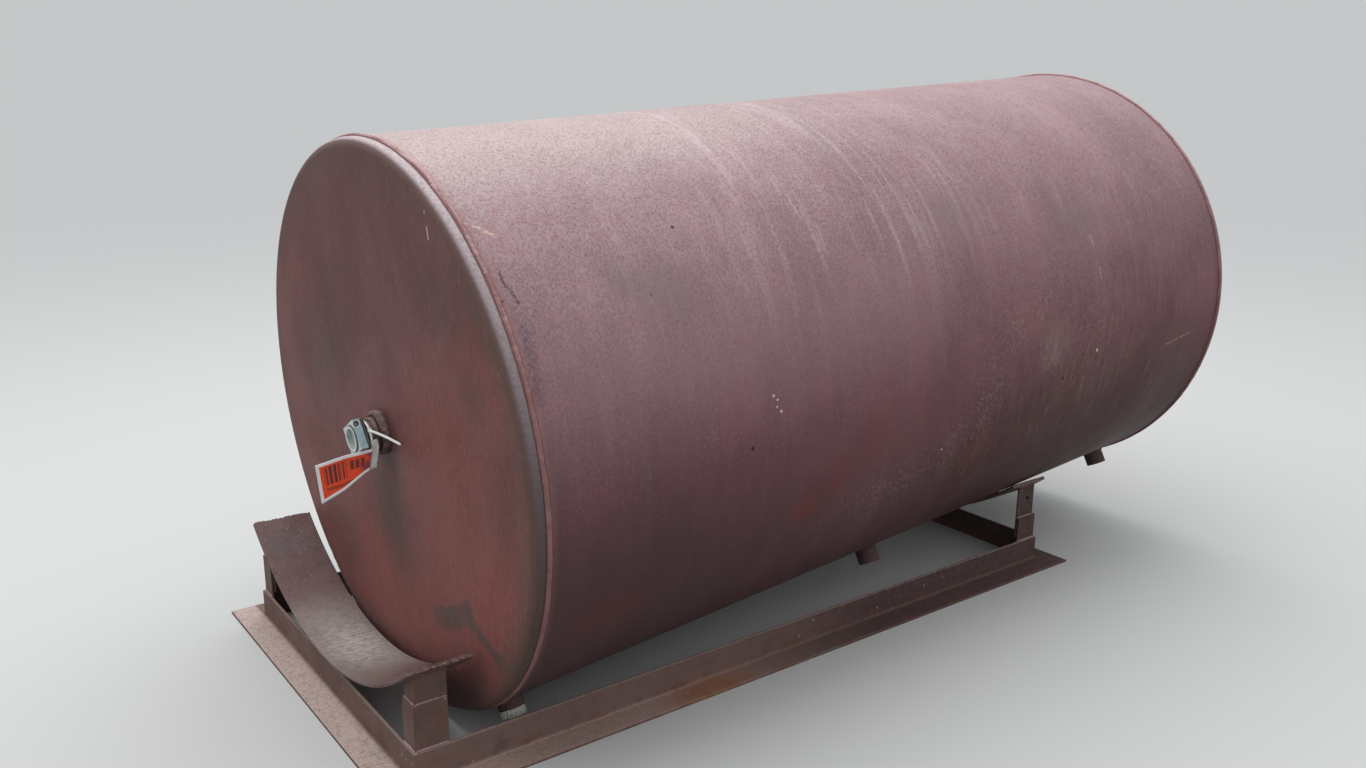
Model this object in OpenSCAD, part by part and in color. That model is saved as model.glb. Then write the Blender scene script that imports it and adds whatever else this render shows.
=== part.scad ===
/* [Tank] */
// Outside diameter of the shell and heads
tank_d = 1219.2; // [900:1:1500]
// Length over both heads
tank_len = 2302; // [1400:1:3000]
// Plate thickness of the shell and heads
plate_t = 4.8; // [3:0.1:8]
// Outside radius of the knuckle where a head turns into its flange
knuckle_r = 20; // [12:1:40]
// Distance from the outside of a head to its circumferential weld
flange_len = 30; // [26:1:60]
// Radius of the circumferential weld bead
bead_r = 4; // [2:0.5:6]
// Nose-down tilt of the tank
tank_pitch = 3.7; // [0:0.1:5]
// Turn of the tank in plan against the skid
tank_yaw = 1.45; // [-3:0.05:3]
// Centre of the front head, back from the skid's front face
tank_x = 117; // [90:0.1:200]
// Centre of the front head, to the left of the skid's middle
tank_y = -103.3; // [-130:0.1:0]
// Gap between the lowest bead and the ground
ground_gap = 0.3; // [0:0.1:30]

/* [Skid] */
// Length over the upright legs of the rails
skid_len = 1919; // [1500:1:2500]
// Width over the upright legs of the rails
skid_w = 921; // [760:1:1000]
// Height of a rail's upright leg
rail_h = 72; // [50:1:100]
// Width of a rail's flange, from the outside of its upright leg
rail_flange = 65; // [40:1:90]
// Thickness of the rail angle
rail_t = 6; // [4:0.5:8]
// Fillet in the root of the rail angle
root_r = 7; // [1:0.5:12]
// Rounding of the inside edge of an angle's toe
toe_r = 3; // [1:0.5:3.5]

/* [Posts] */
// Leg of a lower post along the skid
stub_leg_x = 72; // [50:1:90]
// Leg of a lower post across the skid
stub_leg_y = 52; // [40:1:80]
// Thickness of the lower post angle
stub_t = 6; // [4:0.5:8]
// Top of the front lower posts
front_stub_top = 168; // [120:1:200]
// Top of the rear lower posts
rear_stub_top = 141; // [120:1:200]
// Leg of an upper post along the skid
upper_leg_x = 68; // [50:1:90]
// Leg of an upper post across the skid
upper_leg_y = 48; // [40:1:80]
// Thickness of the upper post angle
upper_t = 6; // [4:0.5:8]
// Fillet in the root of the upper post angle
post_root_r = 6; // [1:0.5:10]
// Bottom of the upper posts, lapped inside the lower posts
upper_foot = 84; // [76:1:110]
// Diameter of the hole near the top of the rear right post
post_hole_d = 12; // [6:1:20]
// Height of that hole
post_hole_z = 195; // [180:1:205]

/* [Saddles] */
// How much larger a saddle's inside radius is than the tank's radius
saddle_spread = 135.4; // [110:0.1:180]
// Plate thickness of a saddle
saddle_t = 9; // [6:0.5:12]
// Width of a saddle along the skid
saddle_w = 142; // [100:1:180]
// How far a saddle stands out over the end of the skid
saddle_out = 8; // [0:1:20]
// Half the width of a saddle across the skid
saddle_half = 470; // [462:1:500]
// Height of the front saddle's lowest inside line
saddle_bottom = 92; // [85:0.5:110]
// How deep the tank seats on the edge of the rear saddle
saddle_seat = 0.2; // [0.1:0.1:0.5]

/* [Bungs] */
// Outside diameter of an underside coupling
bung_d = 57; // [40:1:76]
// Bore of an underside coupling
bung_bore_d = 42; // [30:1:50]
// How far the middle and rear couplings stand out of the shell
bung_out = 42; // [30:1:60]
// How far the front coupling stands out of the shell
front_bung_out = 24; // [20:1:40]
// Radius of the weld bead round an underside coupling
bung_bead_r = 5; // [3:0.5:7]
// Gap between the front bushing and the rail beside it, which sets the turn of the line of couplings
bushing_gap = 31.8; // [20:0.1:60]
// Distance of the front coupling from the front head
front_bung_s = 92; // [80:1:200]
// Distance of the middle coupling from the front head
middle_bung_s = 1172; // [900:1:1400]
// Distance of the rear coupling from the rear head
rear_bung_s = 86; // [80:1:200]
// Diameter over the ribs of the front bushing
bushing_d = 56; // [45:1:70]
// How far the front bushing stands out of its coupling
bushing_out = 20; // [12:1:24]

/* [Head fitting] */
// Offset of the fitting from the middle of the head, to the left
fitting_u = 7; // [-60:1:60]
// Offset of the fitting from the middle of the head, upwards
fitting_v = -1; // [-60:1:60]
// Outside diameter of the head coupling
coupling_d = 73; // [66:1:95]
// How far the head coupling stands out of the head
coupling_out = 27; // [22:1:30]
// Thickness of the weld built up round the head coupling
pad_r = 15; // [6:0.5:18]
// Height of that weld's middle over the head
pad_rise = 4; // [0:0.5:6]
// Diameter of the nipple
nipple_d = 60.3; // [50:0.1:64]
// Bore of the nipple
nipple_bore_d = 52; // [40:0.5:56]
// How far the nipple stands out of the head
nipple_out = 40.5; // [38:0.5:60]
// Thickness of the gasket
gasket_t = 7.5; // [2:0.5:10]
// Side of the square hub body and of the gasket
hub_side = 64.6; // [62:0.1:80]
// Turn of the hub body on the nipple
hub_turn = 31; // [0:1:45]
// Length of the hub body
hub_len = 16; // [14:1:45]
// Outside diameter of the hub ring
hub_ring_d = 58; // [50:1:60]
// Bore of the hub ring
hub_ring_bore_d = 44; // [30:1:46]
// How far the hub ring stands out of the hub body
hub_ring_out = 3; // [2:0.5:14]
// Depth of the recess in the hub body
hub_recess = 8; // [4:1:12]
// Diameter of the set-screw hole in the side of the hub body
set_hole_d = 7; // [4:0.5:8]
// Distance of that hole from the hub body's corner
set_hole_in = 10; // [7:0.5:25]
// Height of that hole over the back of the hub body
set_hole_up = 10; // [6:0.5:10]

/* [Tag and tie] */
// Radius of the cable tie's strap
tie_r = 1.7; // [1:0.1:2]
// Slack of the loop round the nipple
loop_slack = 4.75; // [1:0.05:6]
// Clearance between the loop and the nipple it hangs on
loop_gap = 0.37; // [0.3:0.01:0.6]
// Turn of the way the loop hangs, from straight down towards the right
loop_hang = 62; // [0:1:75]
// Gap between the loop and the gasket
loop_back = 0.8; // [0.3:0.1:2]
// Turn of the cable tie's head on the loop, from the top towards the right
tie_turn = 52; // [30:1:70]
// Length of the cable tie's free tail
tie_tail = 90; // [30:1:95]
// Angle of the tail in plan, from straight back towards the right
tail_turn = 70.7; // [60:0.1:80]
// Fall of the tail
tail_fall = 11.3; // [0:0.1:20]
// Length of the tag's front
tag_len = 119; // [80:1:160]
// Height of the tag at its free end
tag_h = 84; // [50:1:110]
// Height of the tag at its fold
tag_root_h = 49; // [30:1:60]
// Fall of the tag's top edge from the fold to the free end
tag_drop = 24; // [0:1:40]
// How far the tag's lower edge bellies out
tag_belly = 6; // [0:1:12]
// Length of the tag's folded back
flap_len = 12; // [6:1:14]
// How far the folded back stands up over the front
flap_up = 15; // [4:1:18]
// Thickness of the tag
tag_t = 0.8; // [0.4:0.1:1]
// Gap between the tag and the loop beside it
tag_gap = 0.3; // [0.2:0.05:0.6]
// Distance of the fold's top below the nipple's middle
tag_v = 13; // [12.5:0.1:30]
// Angle of the tag in plan to the tank's axis
tag_turn = 20; // [10:1:22]

/* [Hidden] */
$fn = 96;
tank_r = tank_d / 2;
half_w = skid_w / 2;
// where the cable tie's loop hangs, from the nipple's middle, and how far to the right the tag's fold is
loop_r = nipple_d / 2 + tie_r + loop_slack;
loop_u = (loop_slack - loop_gap) * sin(loop_hang);
loop_v = (loop_slack - loop_gap) * cos(loop_hang);
loop_k = nipple_out - tie_r - loop_back;
tag_u = loop_u + loop_r + (tie_r + tag_t / 2 + tag_gap) / cos(tag_turn);
// the part's origin is under the middle of the front rail's flange
origin_x = (rail_flange - rail_t) / 2;
// front head centre height that puts the lowest bead on the ground
tank_z = ground_gap - flange_len * sin(tank_pitch) + (tank_r + 1) * cos(tank_pitch) + bead_r;
shell_len = tank_len - 2 * flange_len;
saddle_r = tank_r + saddle_spread;
saddle_zc = saddle_bottom + saddle_r;
// turn of the line of couplings from the bottom towards the right
front_bung_y = tank_y + front_bung_s * sin(tank_yaw);
bushing_reach = half_w - rail_t + front_bung_y - bushing_gap;
bushing_tip = tank_r + front_bung_out + bushing_out;
bushing_half = bushing_d / 2;
bushing_far = sqrt(bushing_tip * bushing_tip + bushing_half * bushing_half);
bung_turn = asin(bushing_reach / bushing_far) - atan(bushing_half / bushing_tip);
// the tank's middle over the inner edge of the rear saddle, on which it rests
rear_edge_x = skid_len + saddle_out - saddle_w;
rear_tank_y = tank_y + (rear_edge_x - tank_x) * tan(tank_yaw);
rear_tank_z = tank_z + (rear_edge_x - tank_x) * tan(tank_pitch) / cos(tank_yaw);
rear_reach = saddle_spread - tank_r * (1 / cos(tank_pitch) - 1) + saddle_seat;
rear_saddle_zc = rear_tank_z + sqrt(max(0, rear_reach * rear_reach - rear_tank_y * rear_tank_y));
nest = rail_t;
upper_nest = rail_t + stub_t;
primer = [0.42, 0.24, 0.22];
iron = [0.34, 0.25, 0.22];
zinc = [0.70, 0.74, 0.76];

// places children in the tank's own axes: x runs back along the tank, z away from its bottom
module in_tank() {
  translate([origin_x + tank_x, tank_y, tank_z])
    rotate([0, -tank_pitch, tank_yaw])
      children();
}

// turns a profile drawn as (radius, distance back from the front head) about the tank's axis
module turned() {
  rotate([0, 90, 0])
    rotate_extrude($fn = 180)
      children();
}

// profile of a flanged head, from its centre to the end of its flange
module head_profile() {
  difference() {
    union() {
      square([tank_r - knuckle_r, plate_t]);
      translate([tank_r - knuckle_r, knuckle_r])
        intersection() {
          circle(r = knuckle_r);
          translate([0, -knuckle_r])
            square([knuckle_r, knuckle_r]);
        }
      translate([tank_r - plate_t, knuckle_r])
        square([plate_t, flange_len - knuckle_r]);
    }
    translate([tank_r - knuckle_r, knuckle_r])
      circle(r = knuckle_r - plate_t);
  }
}

// ring of weld metal round the tank
module girth_bead(s) {
  turned()
    translate([tank_r + 1, s])
      circle(r = bead_r, $fn = 24);
}

module tank_shell() {
  color(primer)
    in_tank()
      difference() {
        translate([flange_len, 0, 0])
          rotate([0, 90, 0])
            cylinder(h = shell_len, r = tank_r, $fn = 180);
        translate([flange_len - 1, 0, 0])
          rotate([0, 90, 0])
            cylinder(h = shell_len + 2, r = tank_r - plate_t, $fn = 180);
        at_bung(front_bung_s)
          cylinder(h = 60, d = bung_d, center = true);
        at_bung(middle_bung_s)
          cylinder(h = 60, d = bung_d, center = true);
        at_bung(tank_len - rear_bung_s)
          cylinder(h = 60, d = bung_d, center = true);
      }
}

// flanged head with the weld bead that joins it to the shell
module head() {
  difference() {
    union() {
      turned()
        head_profile();
      girth_bead(flange_len);
    }
    translate([flange_len, 0, 0])
      rotate([0, 90, 0])
        cylinder(h = 2 * bead_r, r = tank_r, $fn = 180);
  }
}

module front_head() {
  color(primer)
    in_tank()
      difference() {
        head();
        at_fitting()
          cylinder(h = 60, d = coupling_d, center = true);
      }
}

module rear_head() {
  color(primer)
    in_tank()
      translate([tank_len, 0, 0])
        mirror([1, 0, 0])
          head();
}

// places children on the shell at a bung, z pointing out of the tank
module at_bung(s) {
  translate([s, 0, 0])
    rotate([180 - bung_turn, 0, 0])
      translate([0, 0, tank_r])
        children();
}

// coupling let through the shell, open from end to end, with its weld bead outside
module bung(s, out) {
  color(primer)
    in_tank()
      difference() {
        union() {
          at_bung(s)
            translate([0, 0, -18])
              cylinder(h = 18 + out, d = bung_d);
          difference() {
            at_bung(s)
              rotate_extrude($fn = 96)
                translate([bung_d / 2, 0])
                  circle(r = bung_bead_r, $fn = 24);
            rotate([0, 90, 0])
              cylinder(h = tank_len, r = tank_r, $fn = 180);
          }
        }
        at_bung(s)
          translate([0, 0, -19])
            cylinder(h = 20 + out, d = bung_bore_d);
      }
}

module front_bung() {
  bung(front_bung_s, front_bung_out);
}

module middle_bung() {
  bung(middle_bung_s, bung_out);
}

module rear_bung() {
  bung(tank_len - rear_bung_s, bung_out);
}

module front_bung_bushing() {
  color(zinc)
    in_tank()
      at_bung(front_bung_s)
        difference() {
          union() {
            translate([0, 0, front_bung_out])
              cylinder(h = bushing_out, d = bushing_d, $fn = 6);
            translate([0, 0, front_bung_out - 16])
              cylinder(h = 16, d = bung_bore_d);
          }
          translate([0, 0, front_bung_out + bushing_out - 12])
            cylinder(h = 13, d = 26);
        }
}

// plug screwed into a coupling, its face a little below the rim
module plug(s) {
  color(iron)
    in_tank()
      at_bung(s)
        translate([0, 0, bung_out - 20])
          cylinder(h = 14, d = bung_bore_d);
}

module middle_bung_plug() {
  plug(middle_bung_s);
}

module rear_bung_plug() {
  plug(tank_len - rear_bung_s);
}

// places children on the front head at the fitting, z pointing out of the tank
module at_fitting() {
  translate([0, fitting_u, fitting_v])
    rotate([0, -90, 0])
      children();
}

module head_coupling() {
  color(primer)
    in_tank()
      at_fitting()
        difference() {
          translate([0, 0, -30])
            cylinder(h = 30 + coupling_out, d = coupling_d);
          translate([0, 0, -31])
            cylinder(h = 32 + coupling_out, d = nipple_d);
        }
}

module head_coupling_weld() {
  color(primer)
    in_tank()
      at_fitting()
        difference() {
          rotate_extrude($fn = 96)
            translate([coupling_d / 2, pad_rise])
              circle(r = pad_r, $fn = 32);
          translate([0, 0, -20])
            cylinder(h = 20, d = coupling_d + 60);
          translate([0, 0, -1])
            cylinder(h = pad_rise + pad_r + 2, d = coupling_d);
        }
}

module head_nipple() {
  color(iron)
    in_tank()
      at_fitting()
        difference() {
          translate([0, 0, -18])
            cylinder(h = 18 + nipple_out, d = nipple_d);
          translate([0, 0, -19])
            cylinder(h = 20 + nipple_out, d = nipple_bore_d);
        }
}

// square block standing on the nipple, turned about its axis
module hub_block(h) {
  rotate([0, 0, hub_turn])
    translate([0, 0, h / 2])
      cube([hub_side, hub_side, h], center = true);
}

module hub_gasket() {
  color([0.05, 0.05, 0.05])
    in_tank()
      at_fitting()
        translate([0, 0, nipple_out])
          difference() {
            hub_block(gasket_t);
            translate([0, 0, -1])
              cylinder(h = gasket_t + 2, d = nipple_bore_d);
          }
}

module hub_body() {
  color(zinc)
    in_tank()
      at_fitting()
        translate([0, 0, nipple_out + gasket_t])
          difference() {
            hub_block(hub_len);
            translate([0, 0, hub_len - hub_recess])
              cylinder(h = hub_recess + 1, d = hub_ring_bore_d);
            rotate([0, 0, hub_turn])
              translate([hub_side / 2 - set_hole_in, -hub_side / 2, set_hole_up])
                rotate([90, 0, 0])
                  cylinder(h = 12, d = set_hole_d, center = true);
          }
}

module hub_ring() {
  color(zinc)
    in_tank()
      at_fitting()
        translate([0, 0, nipple_out + gasket_t + hub_len])
          difference() {
            cylinder(h = hub_ring_out, d = hub_ring_d);
            translate([0, 0, -1])
              cylinder(h = hub_ring_out + 2, d = hub_ring_bore_d);
          }
}

// cable tie hanging on the nipple: a loop, its head and its straight tail
module cable_tie() {
  color([0.92, 0.93, 0.92])
    in_tank()
      translate([-loop_k, fitting_u - loop_u, fitting_v - loop_v])
        union() {
          rotate([0, 90, 0])
            rotate_extrude($fn = 64)
              translate([loop_r, 0])
                circle(r = tie_r, $fn = 16);
          rotate([tie_turn, 0, 0])
            translate([0.8, 0, loop_r])
              cube([5, 9, 5], center = true);
          rotate([tie_turn, 0, 0])
            translate([0, 0, loop_r])
              rotate([-tie_turn, 0, 0])
                rotate([0, 90 + tail_fall, -tail_turn])
                  cylinder(h = tie_tail, r = tie_r, $fn = 16);
        }
}

// tag with its folded back, flat in one plane beside the nipple
module lot_tag() {
  color([0.93, 0.35, 0.16])
    in_tank()
      translate([-loop_k, fitting_u - tag_u, fitting_v - tag_v])
        rotate([0, 0, 180 - tag_turn])
          rotate([90, 0, 0])
            linear_extrude(height = tag_t, center = true)
              polygon([
                [0, 0],
                [tag_len, -tag_drop],
                [tag_len - 3, -tag_drop - tag_h],
                [0.57 * tag_len, -(tag_root_h + tag_drop + tag_h) / 2 - tag_belly],
                [14, -tag_root_h],
                [-2, -tag_root_h + 2],
                [-flap_len, -2],
                [-flap_len + 1, flap_up],
                [-3, flap_up - 1]
              ]);
}

// what is taken off a toe to round it, its corner up and to the right
module toe_cut() {
  difference() {
    square(toe_r + 1);
    circle(r = toe_r);
  }
}

// section of an angle, its heel at the origin and its legs along x and y
module angle_section(leg_x, leg_y, t, root) {
  difference() {
    union() {
      square([leg_x, t]);
      square([t, leg_y]);
      if (root > 0)
        difference() {
          translate([t - 1, t - 1])
            square(root + 1);
          translate([t + root, t + root])
            circle(r = root);
        }
    }
    translate([leg_x - toe_r, t - toe_r])
      toe_cut();
    translate([t - toe_r, leg_y - toe_r])
      toe_cut();
  }
}

// section of a rail: upright leg on the inside, flange outwards along the ground
module rail_section() {
  translate([rail_t, 0])
    mirror([1, 0])
      angle_section(rail_flange + rail_t, rail_h, rail_t, root_r);
}

// rail lying along y with its flange towards -x, mitred at both ends
module rail(len) {
  cut = 3 * rail_flange;
  difference() {
    translate([0, len / 2 + rail_flange, 0])
      rotate([90, 0, 0])
        linear_extrude(height = len + 2 * rail_flange)
          rail_section();
    for (side = [-1, 1])
      translate([0, side * len / 2, -1])
        scale([1, side, 1])
          linear_extrude(height = rail_h + 2)
            polygon([[cut, -cut], [-cut, cut], [cut, cut]]);
  }
}

// the skid's own axes: x back from the outside of the front rail's upright leg
module in_skid() {
  translate([origin_x, 0, 0])
    children();
}

module front_rail() {
  color(iron)
    in_skid()
      rail(skid_w);
}

module rear_rail() {
  color(iron)
    in_skid()
      translate([skid_len, 0, 0])
        rotate([0, 0, 180])
          rail(skid_w);
}

module right_rail() {
  color(iron)
    in_skid()
      translate([skid_len / 2, -half_w, 0])
        rotate([0, 0, 90])
          rail(skid_len);
}

module left_rail() {
  color(iron)
    in_skid()
      translate([skid_len / 2, half_w, 0])
        rotate([0, 0, -90])
          rail(skid_len);
}

// angle standing with its heel at the origin and its legs along +x and +y
module angle_post(leg_x, leg_y, t, root, bottom, top) {
  translate([0, 0, bottom])
    linear_extrude(height = top - bottom)
      angle_section(leg_x, leg_y, t, root);
}

// places children at a corner of the skid, x and y pointing inwards
module at_corner(back, side, inset) {
  in_skid()
    translate([back ? skid_len - inset : inset, side * (half_w - inset), 0])
      scale([back ? -1 : 1, -side, 1])
        children();
}

// lower post; its root is left square for the heel of the upper post
module stub(back, side) {
  color(iron)
    at_corner(back, side, nest)
      angle_post(stub_leg_x, stub_leg_y, stub_t, 0, 0, back ? rear_stub_top : front_stub_top);
}

// upper post, cut to the underside of its saddle
module post(back, side) {
  difference() {
    at_corner(back, side, upper_nest)
      angle_post(upper_leg_x, upper_leg_y, upper_t, post_root_r, upper_foot, saddle_zc / 2);
    in_skid()
      translate([back ? skid_len : 0, 0, back ? rear_saddle_zc : saddle_zc])
        rotate([0, 90, 0])
          cylinder(h = skid_len, r = saddle_r + saddle_t, center = true, $fn = 180);
  }
}

module front_right_stub() {
  stub(false, -1);
}

module front_left_stub() {
  stub(false, 1);
}

module rear_right_stub() {
  stub(true, -1);
}

module rear_left_stub() {
  stub(true, 1);
}

module front_right_post() {
  color(iron)
    post(false, -1);
}

module front_left_post() {
  color(iron)
    post(false, 1);
}

module rear_right_post() {
  color(iron)
    difference() {
      post(true, -1);
      in_skid()
        translate([skid_len - 38, -half_w, post_hole_z])
          rotate([90, 0, 0])
            cylinder(h = 60, d = post_hole_d, center = true);
    }
}

module rear_left_post() {
  color(iron)
    post(true, 1);
}

// curved plate across the skid, its hollow upwards
module saddle(zc) {
  intersection() {
    translate([0, 0, zc])
      rotate([0, 90, 0])
        difference() {
          cylinder(h = saddle_w, r = saddle_r + saddle_t, $fn = 180);
          translate([0, 0, -1])
            cylinder(h = saddle_w + 2, r = saddle_r, $fn = 180);
        }
    translate([-1, -saddle_half, 0])
      cube([saddle_w + 2, 2 * saddle_half, zc]);
  }
}

module front_saddle() {
  color(iron)
    in_skid()
      translate([-saddle_out, 0, 0])
        saddle(saddle_zc);
}

module rear_saddle() {
  color(iron)
    in_skid()
      translate([skid_len + saddle_out - saddle_w, 0, 0])
        saddle(rear_saddle_zc);
}

tank_shell();
front_head();
rear_head();
front_bung();
middle_bung();
rear_bung();
front_bung_bushing();
middle_bung_plug();
rear_bung_plug();
head_coupling();
head_coupling_weld();
head_nipple();
hub_gasket();
hub_body();
hub_ring();
cable_tie();
lot_tag();
front_rail();
rear_rail();
right_rail();
left_rail();
front_right_stub();
front_left_stub();
rear_right_stub();
rear_left_stub();
front_right_post();
front_left_post();
rear_right_post();
rear_left_post();
front_saddle();
rear_saddle();
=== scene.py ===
import math

import bmesh
import bpy
from mathutils import Euler, Matrix, Vector, noise


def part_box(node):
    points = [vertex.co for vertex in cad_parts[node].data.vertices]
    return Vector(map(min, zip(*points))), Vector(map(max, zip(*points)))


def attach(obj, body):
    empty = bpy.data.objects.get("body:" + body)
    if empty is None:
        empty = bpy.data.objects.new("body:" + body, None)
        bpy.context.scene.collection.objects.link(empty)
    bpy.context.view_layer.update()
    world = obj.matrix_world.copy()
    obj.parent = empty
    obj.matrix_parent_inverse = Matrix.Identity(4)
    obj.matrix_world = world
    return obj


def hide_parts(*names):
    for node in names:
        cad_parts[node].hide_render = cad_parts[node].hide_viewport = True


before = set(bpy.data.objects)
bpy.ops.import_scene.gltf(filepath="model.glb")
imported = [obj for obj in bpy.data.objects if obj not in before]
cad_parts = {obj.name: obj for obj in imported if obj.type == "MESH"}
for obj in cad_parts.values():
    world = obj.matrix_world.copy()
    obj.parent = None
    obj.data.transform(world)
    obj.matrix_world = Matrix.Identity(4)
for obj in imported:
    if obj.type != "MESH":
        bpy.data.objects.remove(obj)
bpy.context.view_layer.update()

# sizes of the tank, in metres, in its own axes: x back from the front head, y left, z up
TANK_START = Vector((0.1465, -0.1033, 0.61169))
TANK_PITCH = math.radians(3.7)
TANK_YAW = math.radians(1.45)
TANK_TURN = (0, -TANK_PITCH, TANK_YAW)
TANK_R = 0.6096
TANK_LEN = 2.302
FLANGE = 0.030
TANK = Matrix.Translation(TANK_START) @ Euler(TANK_TURN).to_matrix().to_4x4()

# the fitting on the front head: z points out of the tank, x up and y left
FITTING_U = 0.007
FITTING_V = -0.001
FITTING = TANK @ Matrix.Translation((0, FITTING_U, FITTING_V)) @ Matrix.Rotation(math.radians(-90), 4, "Y")
COUPLING_R = 0.0365
COUPLING_OUT = 0.027
NIPPLE_R = 0.03015
NIPPLE_OUT = 0.0405
GASKET_T = 0.0075
HUB_SIDE = 0.0646
HUB_TURN = math.radians(31)
HUB_RING_R = 0.029
SET_HOLE_AT = (-0.0580, -0.0092, 0.0348)

# the front coupling under the tank
FRONT_BUNG_AT = 0.092
BUNG_TURN = math.radians(27.0)

# the skid, whose right side faces -y
RAIL_H = 0.072
RAIL_SIDE_Y = -0.4600
SADDLE_R = 0.745
SADDLE_T = 0.009
SADDLE_HALF = 0.470

# camera at the photograph's viewpoint
CAM_AT = Vector((-0.7353, -2.3324, 1.3224))
CAM_YAW = math.radians(53.143)
CAM_PITCH = math.radians(-14.540)
CAM_ROLL = math.radians(0.573)
FOCAL_PX = 1148.2
PHOTO_PX = 1366.0
SENSOR_MM = 36.0


def show(name, data):
    """A new object in the scene."""
    obj = bpy.data.objects.new(name, data)
    bpy.context.scene.collection.objects.link(obj)
    return obj


def make_camera():
    data = bpy.data.cameras.new("camera")
    cam = show("camera", data)
    data.sensor_width = SENSOR_MM
    data.lens = SENSOR_MM * FOCAL_PX / PHOTO_PX
    data.clip_start = 0.05
    data.clip_end = 100.0
    level_ahead = math.cos(CAM_PITCH)
    ahead = Vector((math.cos(CAM_YAW) * level_ahead, math.sin(CAM_YAW) * level_ahead, math.sin(CAM_PITCH)))
    level = Vector((math.sin(CAM_YAW), -math.cos(CAM_YAW), 0.0))
    up = level.cross(ahead)
    right = level * math.cos(CAM_ROLL) + up * math.sin(CAM_ROLL)
    top = up * math.cos(CAM_ROLL) - level * math.sin(CAM_ROLL)
    turn = Matrix((right, top, -ahead)).transposed().to_4x4()
    cam.matrix_world = Matrix.Translation(CAM_AT) @ turn
    bpy.context.scene.camera = cam


make_camera()


# Node trees

class Nodes:
    """Short calls for building the node tree of a material or of the world."""

    def __init__(self, owner, kind):
        owner.use_nodes = True
        self.tree = owner.node_tree
        self.tree.nodes.clear()
        self.out = self.tree.nodes.new("ShaderNodeOutput" + kind).inputs[0]

    def put(self, socket, value):
        if isinstance(value, bpy.types.NodeSocket):
            self.tree.links.new(value, socket)
        elif socket.type == "RGBA":
            socket.default_value = (*value, 1.0)
        else:
            socket.default_value = value

    def node(self, kind, inputs, output=0, **settings):
        """An output of a new node; inputs gives its sockets values or other outputs."""
        made = self.tree.nodes.new("ShaderNode" + kind)
        for name, value in settings.items():
            setattr(made, name, value)
        for socket, value in inputs.items():
            self.put(made.inputs[socket], value)
        return made.outputs[output]

    def noise(self, vec, scale, detail=4, rough=0.55, distort=0):
        inputs = {"Vector": vec, "Scale": scale, "Detail": detail, "Roughness": rough, "Distortion": distort}
        return self.node("TexNoise", inputs, "Fac")

    def stretch(self, vec, scale, shift):
        return self.node("Mapping", {"Vector": vec, "Scale": scale, "Location": shift})

    def drawn(self, vec, scale, detail, rough, distort=0, shift=(0, 0, 0)):
        """Noise with its own scale along each axis."""
        return self.noise(self.stretch(vec, scale, shift), 1, detail, rough, distort)

    def cells(self, vec, scale, output="Distance"):
        return self.node("TexVoronoi", {"Vector": vec, "Scale": scale}, output)

    def flecks(self, vec, scale, keep, size, shift=(0, 0, 0)):
        """Small scattered spots: 1 on a spot, in the share of the cells given by keep."""
        place = self.stretch(vec, scale, shift)
        chosen = self.math("LESS_THAN", self.split(self.cells(place, 1, "Color"))[0], keep)
        return self.times(self.ramp(self.cells(place, 1), size * 0.5, size, 1, 0), chosen)

    def ramp(self, fac, low, high, out_low=0, out_high=1):
        inputs = {"Value": fac, "From Min": low, "From Max": high, "To Min": out_low, "To Max": out_high}
        return self.node("MapRange", inputs, interpolation_type="SMOOTHSTEP")

    def math(self, op, a, b=0):
        return self.node("Math", {0: a, 1: b}, operation=op)

    def times(self, *values):
        product = values[0]
        for value in values[1:]:
            product = self.math("MULTIPLY", product, value)
        return product

    def plus(self, a, b):
        return self.math("ADD", a, b)

    def minus(self, a, b):
        return self.math("SUBTRACT", a, b)

    def most(self, a, b):
        return self.math("MAXIMUM", a, b)

    def gap(self, a, b):
        return self.math("ABSOLUTE", self.minus(a, b))

    def within(self, value, low, high):
        return self.times(self.math("GREATER_THAN", value, low), self.math("LESS_THAN", value, high))

    def hypot(self, a, b):
        return self.math("SQRT", self.plus(self.times(a, a), self.times(b, b)))

    def mix(self, fac, a, b):
        return self.node("Mix", {0: fac, 6: a, 7: b}, 2, data_type="RGBA")

    def split(self, vec):
        made = self.tree.nodes.new("ShaderNodeSeparateXYZ")
        self.put(made.inputs[0], vec)
        return made.outputs

    def join(self, x, y, z):
        return self.node("CombineXYZ", {0: x, 1: y, 2: z})

    def facing(self):
        """The three parts of the surface's direction."""
        return self.split(self.node("NewGeometry", {}, "Normal"))

    def vector(self, op, inputs, output="Value"):
        return self.node("VectorMath", inputs, output, operation=op)

    def near(self, vec, centre, size, edge=0.4):
        """1 at centre, falling to 0 at the edge of an ellipsoid of that size."""
        place = {"Vector": vec, "Location": centre, "Scale": size}
        inside = self.node("Mapping", place, vector_type="TEXTURE")
        return self.ramp(self.vector("LENGTH", {0: inside}), edge, 1, 1, 0)

    def near_line(self, vec, start, end, width, edge=0.3):
        """1 along the line from start to end, falling to 0 at that distance from it."""
        a = Vector(start)
        along = Vector(end) - a
        shift = self.vector("SUBTRACT", {0: vec, 1: a}, 0)
        dot = self.vector("DOT_PRODUCT", {0: shift, 1: along / along.length_squared})
        foot = self.vector("SCALE", {0: along, "Scale": self.node("Clamp", {"Value": dot})}, 0)
        away = self.vector("DISTANCE", {0: shift, 1: foot})
        return self.ramp(away, width * edge, width, 1, 0)


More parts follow.
